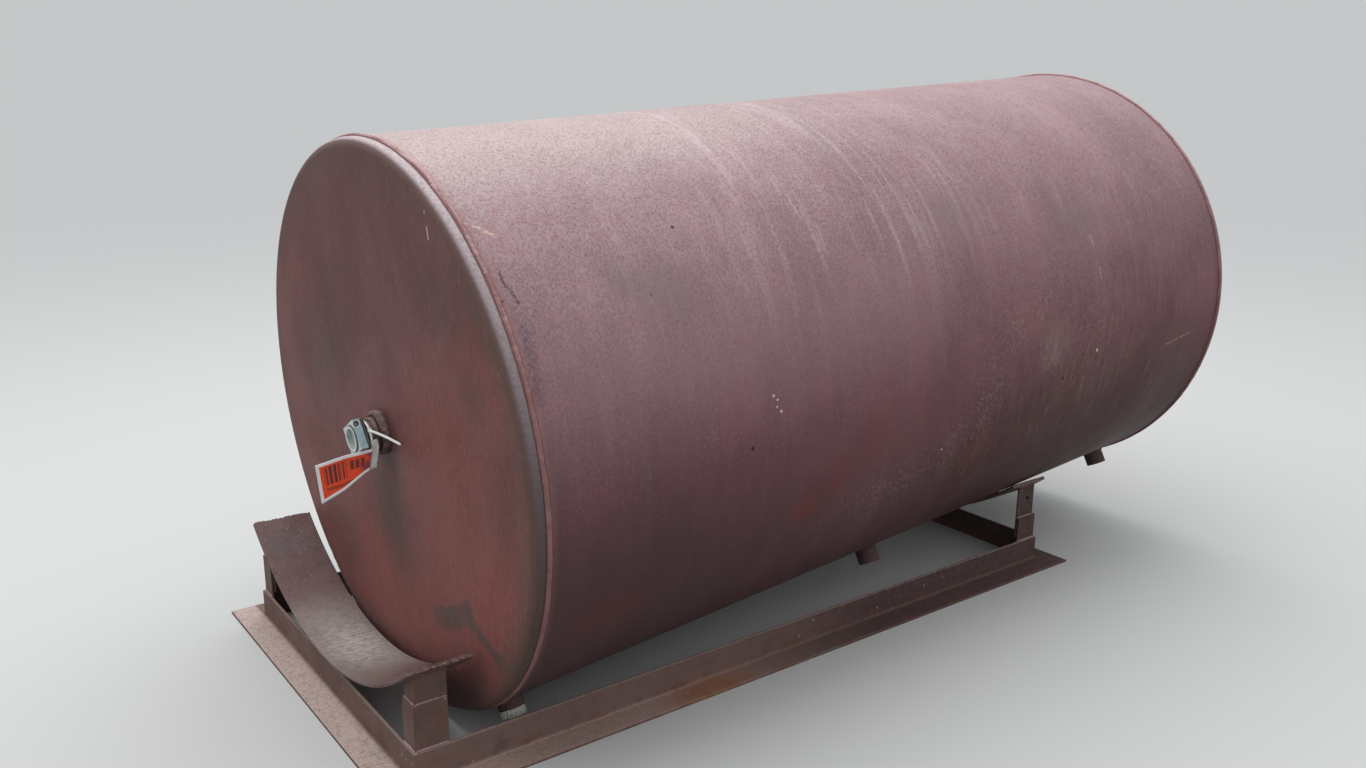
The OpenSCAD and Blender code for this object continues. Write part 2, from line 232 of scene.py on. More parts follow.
class Paint(Nodes):
    """A material whose colour is laid on in coats."""

    def __init__(self, name):
        self.mat = bpy.data.materials.new(name)
        super().__init__(self.mat, "Material")
        self.coord = self.node("TexCoord", {}, "Object")

    def tank_space(self):
        place = {"Vector": self.coord, "Location": TANK_START, "Rotation": TANK_TURN}
        return self.node("Mapping", place, vector_type="TEXTURE")

    def base(self, mask, low, high):
        self.colour = self.mix(mask, low, high)

    def coat(self, paint, *masks):
        """Lay paint over the colour so far, as far as the product of the masks says."""
        self.colour = self.mix(self.times(*masks), self.colour, paint)

    def layer(self, paint, texture, low, high, share):
        """A coat that follows a texture, up to that share."""
        self.coat(paint, self.ramp(texture, low, high, 0, share))

    def finish(self, rough, bumps=(), specular=0.5, metal=0):
        """Close the material; each bump is a height, a strength and a distance."""
        chain = {}
        for height, strength, distance in bumps:
            inputs = {"Height": height, "Strength": strength, "Distance": distance, **chain}
            chain = {"Normal": self.node("Bump", inputs)}
        skin = {"Base Color": self.colour, "Roughness": rough, "Metallic": metal, **chain}
        skin["Specular IOR Level"] = specular
        self.put(self.out, self.node("BsdfPrincipled", skin))
        return self.mat


# Marks on the shell, in the tank's axes: start, end and width, or centre and size

PALE_SCRATCHES = [
    ((0.040, -0.384, 0.474), (0.062, -0.396, 0.463), 0.0050),
    ((0.066, -0.402, 0.458), (0.084, -0.414, 0.448), 0.0060),
    ((2.023, -0.602, -0.096), (2.138, -0.604, -0.084), 0.0022),
    ((1.693, -0.557, 0.247), (1.700, -0.592, 0.145), 0.0032),
    ((1.700, -0.592, 0.145), (1.678, -0.608, -0.030), 0.0026),
    ((0.915, -0.300, 0.531), (0.925, -0.330, 0.512), 0.0030),
]
DARK_SCRATCHES = [
    ((0.056, -0.461, 0.399), (0.055, -0.479, 0.377), 0.0042),
    ((0.056, -0.482, 0.373), (0.061, -0.488, 0.365), 0.0050),
    ((0.062, -0.490, 0.362), (0.067, -0.504, 0.344), 0.0050),
    ((0.335, -0.517, 0.322), (0.337, -0.523, 0.314), 0.0036),
]
DARK_DOTS = [
    ((0.500, -0.610, -0.007), 0.0060), ((0.034, -0.426, 0.436), 0.0038), ((0.039, -0.499, 0.350), 0.0040),
    ((0.452, -0.443, 0.418), 0.0050), ((1.541, -0.603, -0.089), 0.0070),
]
PALE_DOTS = [
    ((1.678, -0.608, -0.042), 0.0065), ((0.563, -0.603, 0.086), 0.0042), ((0.572, -0.604, 0.076), 0.0036),
    ((0.579, -0.607, 0.051), 0.0042), ((0.569, -0.605, 0.062), 0.0034), ((1.100, -0.585, -0.170), 0.0040),
]
RED_PATCHES = [
    ((0.854, -0.605, -0.075), (0.060, 0.05, 0.085)),
    ((0.754, -0.594, -0.139), (0.055, 0.06, 0.075)),
    ((0.671, -0.579, -0.189), (0.065, 0.07, 0.065)),
    ((1.235, -0.560, -0.225), (0.080, 0.08, 0.090)),
    ((0.180, -0.540, -0.280), (0.200, 0.10, 0.140)),
]
GREY_PATCHES = [
    ((0.290, -0.505, 0.340), (0.070, 0.07, 0.070)),
    ((0.375, -0.515, 0.320), (0.130, 0.09, 0.100)),
    ((1.235, -0.490, 0.360), (0.240, 0.14, 0.110)),
    ((1.675, -0.538, 0.286), (0.160, 0.10, 0.120)),
]
# edge of the speckled lower rear part, from the top down
SPECK_EDGE = [
    (1.520, -0.580, 0.190), (1.395, -0.601, 0.104), (1.302, -0.608, 0.039), (1.239, -0.607, -0.059),
    (1.219, -0.593, -0.143), (1.030, -0.571, -0.213), (0.838, -0.558, -0.245),
]


def scratches(n, place, marks, paint, wear):
    for start, end, width in marks:
        n.coat(paint, n.near_line(place, start, end, width), wear)


def dots(n, place, marks, paint):
    for centre, r in marks:
        n.coat(paint, n.near(place, centre, (r, r, r)))


def patches(n, place, marks, paint, mottle):
    for centre, size in marks:
        n.coat(paint, n.near(place, centre, size, 0), mottle)


def weld_paint_and_crease_shade(n, x, strength):
    """Paint on the bead itself and thin dark lines of painted shade in the creases on both sides of it."""
    for weld_x in (FLANGE, TANK_LEN - FLANGE):
        away = n.gap(x, weld_x)
        n.coat((0.3, 0.142, 0.14), n.ramp(away, 0.0042, 0.0050, 1, 0))
        line = n.times(n.ramp(away, 0.0044, 0.0052), n.ramp(away, 0.0056, 0.0078, 1, 0))
        n.coat((0.06, 0.03, 0.03), line, strength)


def shell_material():
    n = Paint("shell_primer")
    p = n.tank_space()
    x, y, z = n.split(p)
    broad = n.noise(p, 2.6, 3, 0.55, 0.3)
    cloudy = n.drawn(p, (5.5, 4.2, 4.2), 5, 0.6, 0.5, (3, 1, 2))
    streak = n.drawn(p, (42, 4, 4), 5, 0.6)
    wide = n.drawn(p, (15, 1.8, 1.8), 4, 0.55, 0.3, (7, 0, 0))
    sand = n.drawn(p, (300, 170, 170), 3, 0.7)
    clump = n.drawn(p, (64, 42, 42), 4, 0.65, 0.3, (8, 3, 5))
    grain = n.noise(p, 620, 3, 0.6)
    up = n.facing()[2]

    # primer, from maroon at the sides to brown underneath; the darkening underneath is partly painted shade
    # and partly damp dirt
    n.base(n.ramp(broad, 0.36, 0.64), (0.192, 0.074, 0.086), (0.244, 0.103, 0.114))
    n.layer((0.148, 0.082, 0.094), cloudy, 0.44, 0.66, 0.55)
    n.coat((0.086, 0.038, 0.039), n.ramp(up, 0.15, -0.75), 0.88)
    n.layer((0.105, 0.056, 0.06), streak, 0.42, 0.68, 0.2)
    n.layer((0.225, 0.098, 0.1), wide, 0.46, 0.7, 0.32)
    patches(n, p, RED_PATCHES, (0.215, 0.058, 0.05), n.ramp(cloudy, 0.34, 0.6, 0.35, 0.85))

    chalk_and_sheen = shell_chalk_and_sheen(n, p, x, up, cloudy, sand, clump)
    slanted = n.join(n.plus(x, n.times(z, -0.1)), y, z)
    shell_streaks(n, slanted, x, up, cloudy, sand)
    weathered_rear(n, p, slanted, up, cloudy, wide)
    cloud = n.near(p, (1.49, -0.609, -0.006), (0.085, 0.1, 0.09), 0)
    cloud = n.times(cloud, n.ramp(clump, 0.36, 0.6, 0.35, 1))
    n.coat((0.38, 0.3, 0.27), cloud, n.ramp(sand, 0.35, 0.6, 0.25, 0.6))

    # a paler belt near the front, then darker towards the ground at both ends, partly painted shade under
    # the tank and partly damp dirt
    belt = n.near_line(p, (0.2, -0.58, 0.19), (0.95, -0.58, 0.19), 0.24, 0)
    n.coat((0.33, 0.205, 0.225), belt, n.ramp(clump, 0.34, 0.62, 0.35, 0.75), 0.52)
    n.coat((0.058, 0.042, 0.044), n.ramp(x, 0.75, 0.2), n.ramp(up, 0.1, -0.3), 0.46)
    n.coat((0.056, 0.022, 0.019), n.ramp(x, 0.95, 1.7), n.ramp(up, -0.1, -0.7), 0.8)

    # a darker soft streak by the front weld, scratches and chips
    shade = n.near_line(p, (0.06, -0.53, 0.301), (0.043, -0.58, 0.19), 0.024, 0)
    n.coat((0.11, 0.07, 0.082), shade, n.ramp(sand, 0.36, 0.62, 0.7, 0.2))
    dashes = n.drawn(p, (150, 150, 150), 2, 0.6, 0, (2, 6, 4))
    worn = n.times(n.ramp(grain, 0.38, 0.54, 0.25, 1), n.ramp(dashes, 0.42, 0.54, 0.1, 1))
    scratches(n, p, PALE_SCRATCHES, (0.74, 0.52, 0.43), n.times(worn, 0.8))
    scratches(n, p, DARK_SCRATCHES, (0.085, 0.045, 0.052), worn)
    dots(n, p, DARK_DOTS, (0.045, 0.014, 0.014))
    dots(n, p, PALE_DOTS, (0.74, 0.68, 0.62))
    n.coat((0.4, 0.3, 0.28), n.flecks(p, (34, 30, 30), 0.1, 0.075), 0.6)
    n.coat((0.04, 0.02, 0.02), n.flecks(p, (46, 40, 40), 0.16, 0.07, (5, 2, 1)), 0.8)

    # salmon tint beside the front weld, painted crease shade at both welds
    n.coat((0.32, 0.15, 0.14), n.ramp(x, 0.034, 0.055, 1, 0), n.ramp(cloudy, 0.3, 0.6, 0.2, 0.55))
    weld_paint_and_crease_shade(n, x, 0.6)
    wave = n.drawn(p, (3.2, 2, 2), 2, 0.5)
    rough = n.plus(n.ramp(cloudy, 0.3, 0.7, 0.5, 0.62), n.times(chalk_and_sheen, 0.12))
    return n.finish(rough, [(wave, 0.1, 0.02), (sand, 0.1, 0.0007), (grain, 0.12, 0.0004)], 0.2)


def shell_chalk_and_sheen(n, p, x, up, cloudy, sand, clump):
    """Chalk and dust on the upper side, mottled like fine sand, with a painted sheen of the sky on top;
    returns where it lies.
    """
    tint = n.drawn(p, (260, 130, 130), 3, 0.7, 0, (4, 8, 2))
    chalk_and_sheen = n.times(
        n.math("POWER", n.ramp(up, -0.25, 0.95), 1.25),
        n.ramp(sand, 0.34, 0.64, 0.45, 1),
        n.ramp(cloudy, 0.3, 0.66, 0.96, 0.72),
        n.ramp(x, 0.3, 1.3, 1, 0.8),
        n.ramp(clump, 0.34, 0.6, 1, 0.86),
    )
    chalk_and_sheen_tone = n.mix(n.ramp(tint, 0.38, 0.62), (0.52, 0.35, 0.375), (0.47, 0.385, 0.39))
    chalk_and_sheen_tone = n.mix(n.ramp(clump, 0.52, 0.66, 0, 0.45), chalk_and_sheen_tone, (0.47, 0.29, 0.315))
    chalk_and_sheen_tone = n.mix(n.ramp(clump, 0.47, 0.35, 0, 0.6), chalk_and_sheen_tone, (0.45, 0.4, 0.405))
    n.coat(chalk_and_sheen_tone, chalk_and_sheen)
    # the palest coat on the very top is chalk with a painted sheen
    crown_chalk_and_sheen = n.times(n.ramp(up, 0.74, 1), n.ramp(sand, 0.4, 0.62, 0.35, 0.9))
    n.coat((0.64, 0.55, 0.51), crown_chalk_and_sheen, n.ramp(x, 0.2, 1.6, 0.7, 0.15))
    n.coat((0.118, 0.062, 0.068), n.ramp(sand, 0.44, 0.32), n.ramp(up, -0.2, 0.9, 0.3, 0.42))
    n.coat((0.42, 0.29, 0.3), n.ramp(sand, 0.56, 0.7), n.ramp(up, -0.6, 0.5, 0.1, 0.4))
    patches(n, p, GREY_PATCHES, (0.215, 0.16, 0.175), n.ramp(sand, 0.36, 0.6, 0.15, 0.6))
    return chalk_and_sheen


def shell_streaks(n, slanted, x, up, cloudy, sand):
    """Soft pale streaks that run round the shell in its front half."""
    line_noise = n.drawn(slanted, (44, 2.6, 2.6), 5, 0.62, 0.15, (1.7, 0, 0))
    lines = n.times(n.ramp(line_noise, 0.5, 0.66), n.ramp(sand, 0.34, 0.58, 0.35, 1))
    band = n.times(n.ramp(x, 0.5, 0.76), n.ramp(x, 0.98, 1.35, 1, 0))
    reach = n.times(n.ramp(up, 0.3, 0.72), n.ramp(cloudy, 0.3, 0.6, 1, 0.5))
    n.coat((0.64, 0.54, 0.53), lines, band, reach, 0.62)
    n.coat((0.52, 0.4, 0.41), lines, n.ramp(up, -0.3, 0.6), 0.12)


def weathered_rear(n, p, slanted, up, cloudy, wide):
    """Weathered lower rear: fine strokes behind a ragged edge of pale specks."""
    x, y, z = n.split(p)
    behind = n.plus(n.plus(x, n.times(z, -0.95)), n.times(n.minus(cloudy, 0.5), 0.6))
    rear = n.times(
        n.ramp(behind, 1.24, 1.6), n.ramp(y, -0.3, -0.45), n.ramp(up, 0.4, 0), n.ramp(x, 2.22, 2.05),
    )
    stroke = n.drawn(slanted, (110, 13, 13), 5, 0.66, 0.2, (4, 0, 0))
    # darker underneath, partly painted shade and partly damp dirt
    n.coat((0.1, 0.043, 0.037), rear, n.ramp(up, 0.1, -0.4), 0.72)
    n.coat((0.33, 0.205, 0.18), rear, n.ramp(stroke, 0.55, 0.66, 0, 0.46))
    n.coat((0.07, 0.032, 0.032), rear, n.ramp(stroke, 0.46, 0.34, 0, 0.42))
    area = None
    for start, end in zip(SPECK_EDGE, SPECK_EDGE[1:]):
        part = n.near_line(p, start, end, 0.13, 0)
        area = part if area is None else n.most(area, part)
    spray = n.times(n.near(p, (1.64, -0.59, 0.02), (0.4, 0.3, 0.27), 0.1), 0.75)
    area = n.most(area, spray)
    grit = n.ramp(n.drawn(slanted, (300, 90, 90), 3, 0.7, 0, (9, 0, 0)), 0.55, 0.66, 0, 0.8)
    spots = n.flecks(slanted, (300, 110, 110), 0.34, 0.42)
    n.coat((0.43, 0.29, 0.275), area, n.most(spots, grit), n.ramp(wide, 0.3, 0.6, 0.45, 0.8))


# Marks on the front head, in the tank's axes: y and z of the centre and radius, or as for the shell

HEAD_RED = [
    (-0.455, 0.190, 0.17), (-0.226, -0.172, 0.22), (-0.440, -0.215, 0.20),
    (-0.240, 0.100, 0.20), (-0.350, 0.000, 0.20), (-0.430, -0.250, 0.22), (-0.300, -0.230, 0.16),
    (-0.100, -0.370, 0.14), (0.100, -0.300, 0.20),
]
HEAD_DARK = [
    (0.226, 0.182, 0.22), (-0.330, 0.330, 0.12), (-0.020, -0.025, 0.080), (-0.187, -0.560, 0.11),
    (-0.430, 0.170, 0.085), (-0.320, -0.460, 0.10), (0.300, -0.330, 0.16), (0.330, 0.070, 0.20),
]
HEAD_SCRATCHES = [
    ((0.0, -0.316, 0.464), (0.0, -0.318, 0.444), 0.0042),
    ((0.0, -0.313, 0.494), (0.0, -0.313, 0.489), 0.0028),
]
HEAD_DRIP = [
    ((0.0, -0.180, -0.362), (0.0, -0.250, -0.338), 0.032),
    ((0.0, -0.250, -0.338), (0.0, -0.318, -0.300), 0.034),
    ((0.0, -0.322, -0.282), (0.0, -0.326, -0.316), 0.020),
    ((0.0, -0.326, -0.316), (0.0, -0.372, -0.334), 0.022),
    ((0.0, -0.372, -0.334), (0.0, -0.430, -0.355), 0.019),
    ((0.0, -0.430, -0.355), (0.0, -0.484, -0.366), 0.022),
]


def front_head_marks(n, p, flat, patch, brush, slant):
    """Redder and darker patches, the fitting's shadow, the drip and the dark foot, partly dirt and partly
    painted shadow behind the post.
    """
    for marks, paint, mottle in (
        (HEAD_RED, (0.29, 0.086, 0.07), n.ramp(brush, 0.36, 0.58, 0.35, 0.75)),
        (HEAD_DARK, (0.105, 0.06, 0.053), n.ramp(slant, 0.36, 0.6, 0.35, 0.75)),
    ):
        patches(n, flat, [((0, y, z), (1, r, r)) for y, z, r in marks], paint, mottle)
    stain = n.near(flat, (0, -0.01, -0.19), (1, 0.17, 0.19), 0)
    n.coat((0.098, 0.057, 0.05), stain, n.ramp(patch, 0.36, 0.58, 0.5, 0.85))
    n.coat((0.062, 0.04, 0.036), n.near(flat, (0, -0.012, -0.012), (1, 0.08, 0.088), 0.55), 0.62)
    _, y, z = n.split(p)
    ragged = n.times(n.minus(slant, 0.5), 0.03)
    drip_at = n.join(0, n.plus(y, ragged), n.plus(z, ragged))
    for start, end, width in HEAD_DRIP:
        n.coat((0.098, 0.066, 0.058), n.near_line(drip_at, start, end, width, 0.45), 0.72)
    # dark foot behind the post: partly dirt, partly painted shadow
    foot_dirt_and_shadow = n.near(flat, (0, -0.25, -0.56), (1, 0.17, 0.12), 0.1)
    n.coat((0.026, 0.017, 0.017), foot_dirt_and_shadow, n.ramp(patch, 0.36, 0.58, 0.6, 0.95))


def head_material(name, front):
    n = Paint(name)
    p = n.tank_space()
    x, y, z = n.split(p)
    flat = n.join(0, y, z)
    radius = n.hypot(y, z)
    broad = n.noise(p, 2.7, 4, 0.55, 0.5)
    patch = n.drawn(p, (3, 4.2, 2.8), 6, 0.62, 0.5, (2, 5, 1))
    brush = n.drawn(p, (8, 130, 22), 4, 0.62, 0.3)
    slant = n.drawn(p, (8, 46, 19), 5, 0.62, 1.4, (1, 3, 9))
    fine = n.noise(p, 150, 4, 0.62)
    grain = n.noise(p, 480, 3, 0.6)

    n.base(n.ramp(z, -0.5, 0.55), (0.24, 0.076, 0.064), (0.165, 0.064, 0.07))
    n.layer((0.222, 0.078, 0.07), broad, 0.38, 0.64, 0.7)
    n.layer((0.14, 0.07, 0.062), patch, 0.46, 0.66, 0.52)
    if front:
        front_head_marks(n, p, flat, patch, brush, slant)
    n.coat((0.14, 0.08, 0.064), n.ramp(radius, 0.53, 0.594), n.ramp(patch, 0.34, 0.6, 0.25, 0.75))
    # darker towards the bottom: partly dirt, partly painted shade near the ground
    n.coat((0.066, 0.04, 0.036), n.ramp(z, -0.42, -0.6), n.ramp(broad, 0.35, 0.6, 0.45, 0.9))

    # brushed streaks, light flecks and fine dirt
    n.layer((0.25, 0.112, 0.092), brush, 0.54, 0.7, 0.34)
    n.layer((0.085, 0.044, 0.042), brush, 0.46, 0.32, 0.32)
    n.layer((0.095, 0.054, 0.048), slant, 0.56, 0.7, 0.32)
    leaning = n.join(0, n.plus(y, n.times(z, -0.38)), z)
    dashes = n.drawn(leaning, (1, 230, 44), 3, 0.6, 0.4, (0, 7, 2))
    n.layer((0.07, 0.036, 0.034), dashes, 0.6, 0.68, 0.55)
    n.coat((0.36, 0.19, 0.14), n.flecks(p, (20, 150, 40), 0.2, 0.26, (2, 2, 2)), 0.42)
    n.coat((0.052, 0.028, 0.026), n.flecks(p, (30, 95, 60), 0.22, 0.2, (6, 1, 3)), 0.6)
    n.layer((0.092, 0.05, 0.046), fine, 0.54, 0.74, 0.3)
    if front:
        scratches(n, flat, HEAD_SCRATCHES, (0.62, 0.5, 0.4), n.ramp(grain, 0.36, 0.5, 0.4, 0.9))

    # dark edge, then a lilac-grey flange that fades to brown towards the ground; the pale dust on its upward
    # crest is partly a painted highlight
    n.coat((0.15, 0.094, 0.08), n.ramp(radius, 0.588, 0.6), 0.6)
    flange = n.ramp(radius, 0.6015, 0.6085)
    n.coat((0.098, 0.062, 0.054), flange, 0.8)
    n.coat((0.205, 0.16, 0.172), flange, n.ramp(z, -0.25, 0.25), n.ramp(fine, 0.3, 0.62, 0.6, 0.9))
    dust_and_highlight = n.times(flange, n.math("POWER", n.ramp(n.facing()[2], -0.1, 0.95), 1.3))
    n.coat((0.56, 0.46, 0.465), dust_and_highlight, n.ramp(fine, 0.3, 0.62, 0.55, 0.95))
    weld_paint_and_crease_shade(n, x, 0.72)
    wave = n.drawn(p, (2, 3, 3), 2, 0.5)
    layers = [(wave, 0.12, 0.02), (fine, 0.1, 0.0010), (grain, 0.14, 0.0007)]
    return n.finish(n.ramp(patch, 0.3, 0.7, 0.5, 0.64), layers, 0.3)


def weld_material(name, low, high, dirt):
    n = Paint(name)
    fine = n.noise(n.coord, 190, 4, 0.6)
    n.base(n.ramp(n.noise(n.coord, 9, 3, 0.5), 0.35, 0.65), low, high)
    dust = n.times(n.ramp(n.facing()[2], 0.1, 0.95), n.ramp(fine, 0.3, 0.6, 0.35, 0.85))
    n.coat((0.56, 0.385, 0.39), dust, 0.92)
    n.coat(dirt, n.ramp(fine, 0.52, 0.76, 0, 0.55))
    n.coat((0.52, 0.36, 0.31), n.flecks(n.coord, (120, 120, 120), 0.16, 0.3), 0.55)
    return n.finish(0.6, [(fine, 0.15, 0.0004)], 0.35)


def skid_material():
    n = Paint("skid_primer")
    p = n.coord
    x, y, z = n.split(p)
    broad = n.noise(p, 5, 4, 0.6, 0.4)
    patch = n.noise(p, 17, 5, 0.62, 0.3)
    fine = n.noise(p, 95, 5, 0.7)
    grain = n.noise(p, 330, 3, 0.65)
    up = n.ramp(n.facing()[2], 0.55, 0.95)
    n.base(n.ramp(broad, 0.36, 0.64), (0.122, 0.07, 0.06), (0.172, 0.104, 0.088))
    n.coat((0.232, 0.148, 0.128), n.ramp(y, RAIL_SIDE_Y + 0.0025, RAIL_SIDE_Y), 0.6)
    n.layer((0.178, 0.08, 0.062), patch, 0.5, 0.68, 0.55)
    n.layer((0.098, 0.072, 0.064), patch, 0.44, 0.3, 0.6)
    n.layer((0.235, 0.16, 0.14), fine, 0.54, 0.72, 0.45)
    n.layer((0.045, 0.026, 0.022), grain, 0.56, 0.7, 0.5)

    # dust lies on what faces up, thickest on the front flange
    front = n.ramp(x, 0.03, 0.02)
    right = n.times(n.ramp(y, RAIL_SIDE_Y + 0.005, RAIL_SIDE_Y - 0.005), n.ramp(x, 1.1, 0.55))
    depth = n.plus(0.62, n.times(n.most(front, right), 0.34))
    dust = n.times(up, n.ramp(fine, 0.26, 0.58, 0.55, 1), n.ramp(grain, 0.3, 0.62, 0.7, 1), depth)
    powder = n.mix(right, (0.235, 0.16, 0.135), (0.4, 0.28, 0.24))
    n.coat(n.mix(front, powder, (0.57, 0.45, 0.395)), dust)
    # darker and redder towards the rear; the darkening is painted shade under the tank
    far = n.mix(n.ramp(fine, 0.4, 0.64), (0.05, 0.027, 0.028), (0.094, 0.048, 0.047))
    n.coat(far, n.ramp(x, 0.75, 1.35, 0, 0.82))
    n.coat((0.17, 0.085, 0.06), up, n.flecks(p, (160, 160, 160), 0.45, 0.4), 0.6)
    # orange rust on the right flange, damp at the foot of the upright legs
    rust = n.near(p, (0.72, -0.5, 0.006), (0.17, 0.06, 0.03), 0.25)
    orange = n.mix(n.ramp(grain, 0.4, 0.62), (0.235, 0.085, 0.03), (0.36, 0.15, 0.06))
    n.coat(orange, rust, n.ramp(fine, 0.34, 0.56, 0.25, 1), 0.85)
    damp = n.times(n.ramp(z, 0.03, 0.004), n.ramp(patch, 0.42, 0.6, 0, 0.7))
    n.coat((0.135, 0.062, 0.04), damp, n.minus(1, up))
    # chips through to paler primer, worn top edges
    n.coat((0.48, 0.33, 0.3), n.flecks(p, (40, 40, 26), 0.2, 0.12), 0.8)
    worn = n.ramp(n.gap(z, RAIL_H), 0.0006, 0.0025, 0.75, 0)
    n.coat((0.33, 0.235, 0.205), worn, n.ramp(fine, 0.32, 0.6, 0.3, 1))
    layers = [(patch, 0.1, 0.0030), (fine, 0.22, 0.0010), (grain, 0.2, 0.0006)]
    return n.finish(n.ramp(patch, 0.3, 0.7, 0.6, 0.78), layers, 0.35)


def saddle_material():
    n = Paint("saddle_steel")
    p = n.coord
    y = n.split(p)[1]
    patch = n.noise(p, 19, 5, 0.65, 0.5)
    fine = n.noise(p, 110, 5, 0.7)
    grain = n.noise(p, 380, 3, 0.65)
    n.base(n.ramp(n.noise(p, 6, 4, 0.6, 0.4), 0.36, 0.64), (0.126, 0.07, 0.066), (0.176, 0.104, 0.098))
    n.layer((0.145, 0.074, 0.062), patch, 0.5, 0.68, 0.5)
    n.layer((0.21, 0.148, 0.138), fine, 0.52, 0.7, 0.5)
    n.layer((0.07, 0.042, 0.04), fine, 0.46, 0.34, 0.45)

    # the lowest part is worn pale, with a brown wash at its right and a bluish patch at its left
    bowl = n.near_line(p, (0.08, 0.11, 0.1), (0.11, -0.1, 0.098), 0.17, 0.1)
    brushed = n.drawn(p, (60, 150, 150), 5, 0.7, 0.6, (3, 1, 2))
    drag = n.drawn(p, (95, 34, 34), 5, 0.65, 0.4)
    worn = n.times(bowl, n.ramp(brushed, 0.3, 0.58, 0.55, 1), n.ramp(drag, 0.3, 0.6, 0.72, 1))
    n.coat((0.37, 0.318, 0.292), worn, 0.85)
    bright = n.near(p, (0.1, 0, 0.095), (0.1, 0.17, 0.08), 0)
    n.coat((0.64, 0.59, 0.54), bright, n.ramp(brushed, 0.42, 0.62, 0.25, 1), 0.85)
    wash = n.near(p, (0.04, -0.21, 0.12), (0.12, 0.11, 0.09), 0.1)
    n.coat((0.215, 0.165, 0.13), wash, n.ramp(patch, 0.34, 0.58, 0.35, 0.85))
    blue = n.near(p, (0.074, 0.395, 0.205), (0.07, 0.055, 0.08), 0)
    n.coat((0.125, 0.116, 0.128), blue, n.ramp(fine, 0.35, 0.6, 0.2, 0.5))
    n.coat((0.48, 0.36, 0.32), n.flecks(p, (120, 120, 120), 0.12, 0.3), 0.5)
    n.coat((0.045, 0.028, 0.026), n.flecks(p, (210, 210, 210), 0.22, 0.3), 0.65)
    # crust on the torch-cut ends
    crust = n.mix(n.ramp(fine, 0.38, 0.6), (0.085, 0.045, 0.04), (0.33, 0.215, 0.19))
    n.coat(crust, n.ramp(n.math("ABSOLUTE", y), SADDLE_HALF - 0.006, SADDLE_HALF - 0.001))
    rough = n.minus(n.ramp(patch, 0.3, 0.7, 0.56, 0.72), n.times(worn, 0.12))
    return n.finish(rough, [(patch, 0.25, 0.0030), (fine, 0.35, 0.0012), (grain, 0.2, 0.0006)], 0.42)


def fitting_space(n):
    """Place and x in the tank's axes, then y and distance from the fitting's own axis."""
    place = n.tank_space()
    x, y, z = n.split(place)
    dy = n.minus(y, FITTING_U)
    return place, x, dy, n.hypot(dy, n.minus(z, FITTING_V))


def rust_material(name, low, high, collar=False):
    """Rusty iron, darker on faces that point down as painted shade; collar adds a paler top of dust with a
    painted highlight, and painted shade in the gap between the coupling on the head and its weld.
    """
    n = Paint(name)
    fine = n.noise(n.coord, 160, 5, 0.7)
    up = n.facing()[2]
    n.base(n.ramp(fine, 0.35, 0.7), low, high)
    n.coat((0.055, 0.032, 0.028), n.ramp(n.cells(n.coord, 420), 0, 0.35, 0.4, 0))
    # painted shade on faces that point down
    n.coat((0.055, 0.034, 0.032), n.ramp(up, 0.25, -0.45), 0.65)
    if collar:
        _, x, _, radius = fitting_space(n)
        # paler on top: dust with a painted highlight
        n.coat((0.34, 0.215, 0.19), n.ramp(up, 0.2, 0.9, 0, 0.55), n.ramp(fine, 0.35, 0.6, 0.3, 0.9))
        # painted shade in the groove between the coupling and its weld
        groove_shade = n.ramp(n.math("ABSOLUTE", n.plus(x, 0.0155)), 0.0042, 0.0022)
        n.coat((0.03, 0.018, 0.016), n.ramp(radius, 0.0425, 0.0395), groove_shade, 0.85)
    return n.finish(0.8, [(fine, 0.5, 0.0010)])


def zinc_material():
    n = Paint("zinc")
    spangle = n.cells(n.coord, 130)
    fine = n.noise(n.coord, 220, 4, 0.6)
    facing = n.facing()
    n.base(n.ramp(spangle, 0.1, 0.7), (0.5, 0.62, 0.66), (0.72, 0.82, 0.84))
    # faces towards the front painted cream and faces to the right painted blue: painted reflections of the
    # surroundings and sky
    n.coat((0.72, 0.75, 0.68), n.ramp(facing[0], -0.5, -0.9, 0, 0.55))
    n.coat((0.4, 0.6, 0.68), n.ramp(facing[1], -0.4, -0.8, 0, 0.7))
    n.layer((0.36, 0.44, 0.46), fine, 0.5, 0.8, 0.5)
    # painted shade in the crease round the ring and in the right side of the mouth's cream recess, and the
    # set hole is painted dark as the shade inside it, in a pale rim
    place, x, dy, radius = fitting_space(n)
    line = n.ramp(n.gap(radius, HUB_RING_R), 0.0006, 0.0020, 1, 0)
    n.coat((0.06, 0.07, 0.06), line, n.ramp(x, -0.0618, -0.0634), 0.85)
    recess = n.times(n.ramp(radius, 0.0224, 0.0219), n.ramp(x, -0.0545, -0.0555))
    n.coat((0.56, 0.59, 0.52), recess, 0.7)
    n.coat((0.09, 0.072, 0.048), recess, n.ramp(dy, -0.006, -0.016), 0.85)
    for r, paint in ((0.0085, (0.78, 0.84, 0.84)), (0.0064, (0.014, 0.02, 0.022))):
        n.coat(paint, n.near(place, SET_HOLE_AT, (r, r, r), 0.85))
    return n.finish(n.ramp(spangle, 0, 0.8, 0.28, 0.48), [(fine, 0.2, 0.0006)], metal=0.4)


def plain_material(name, low, high, scale, rough):
    n = Paint(name)
    fine = n.noise(n.coord, scale, 4, 0.6)
    n.base(n.ramp(fine, 0.35, 0.65), low, high)
    return n.finish(rough, [(fine, 0.15, 0.0004)])


TAG_BORDER = 0.0070
TAG_INK = (0.075, 0.01, 0.01)


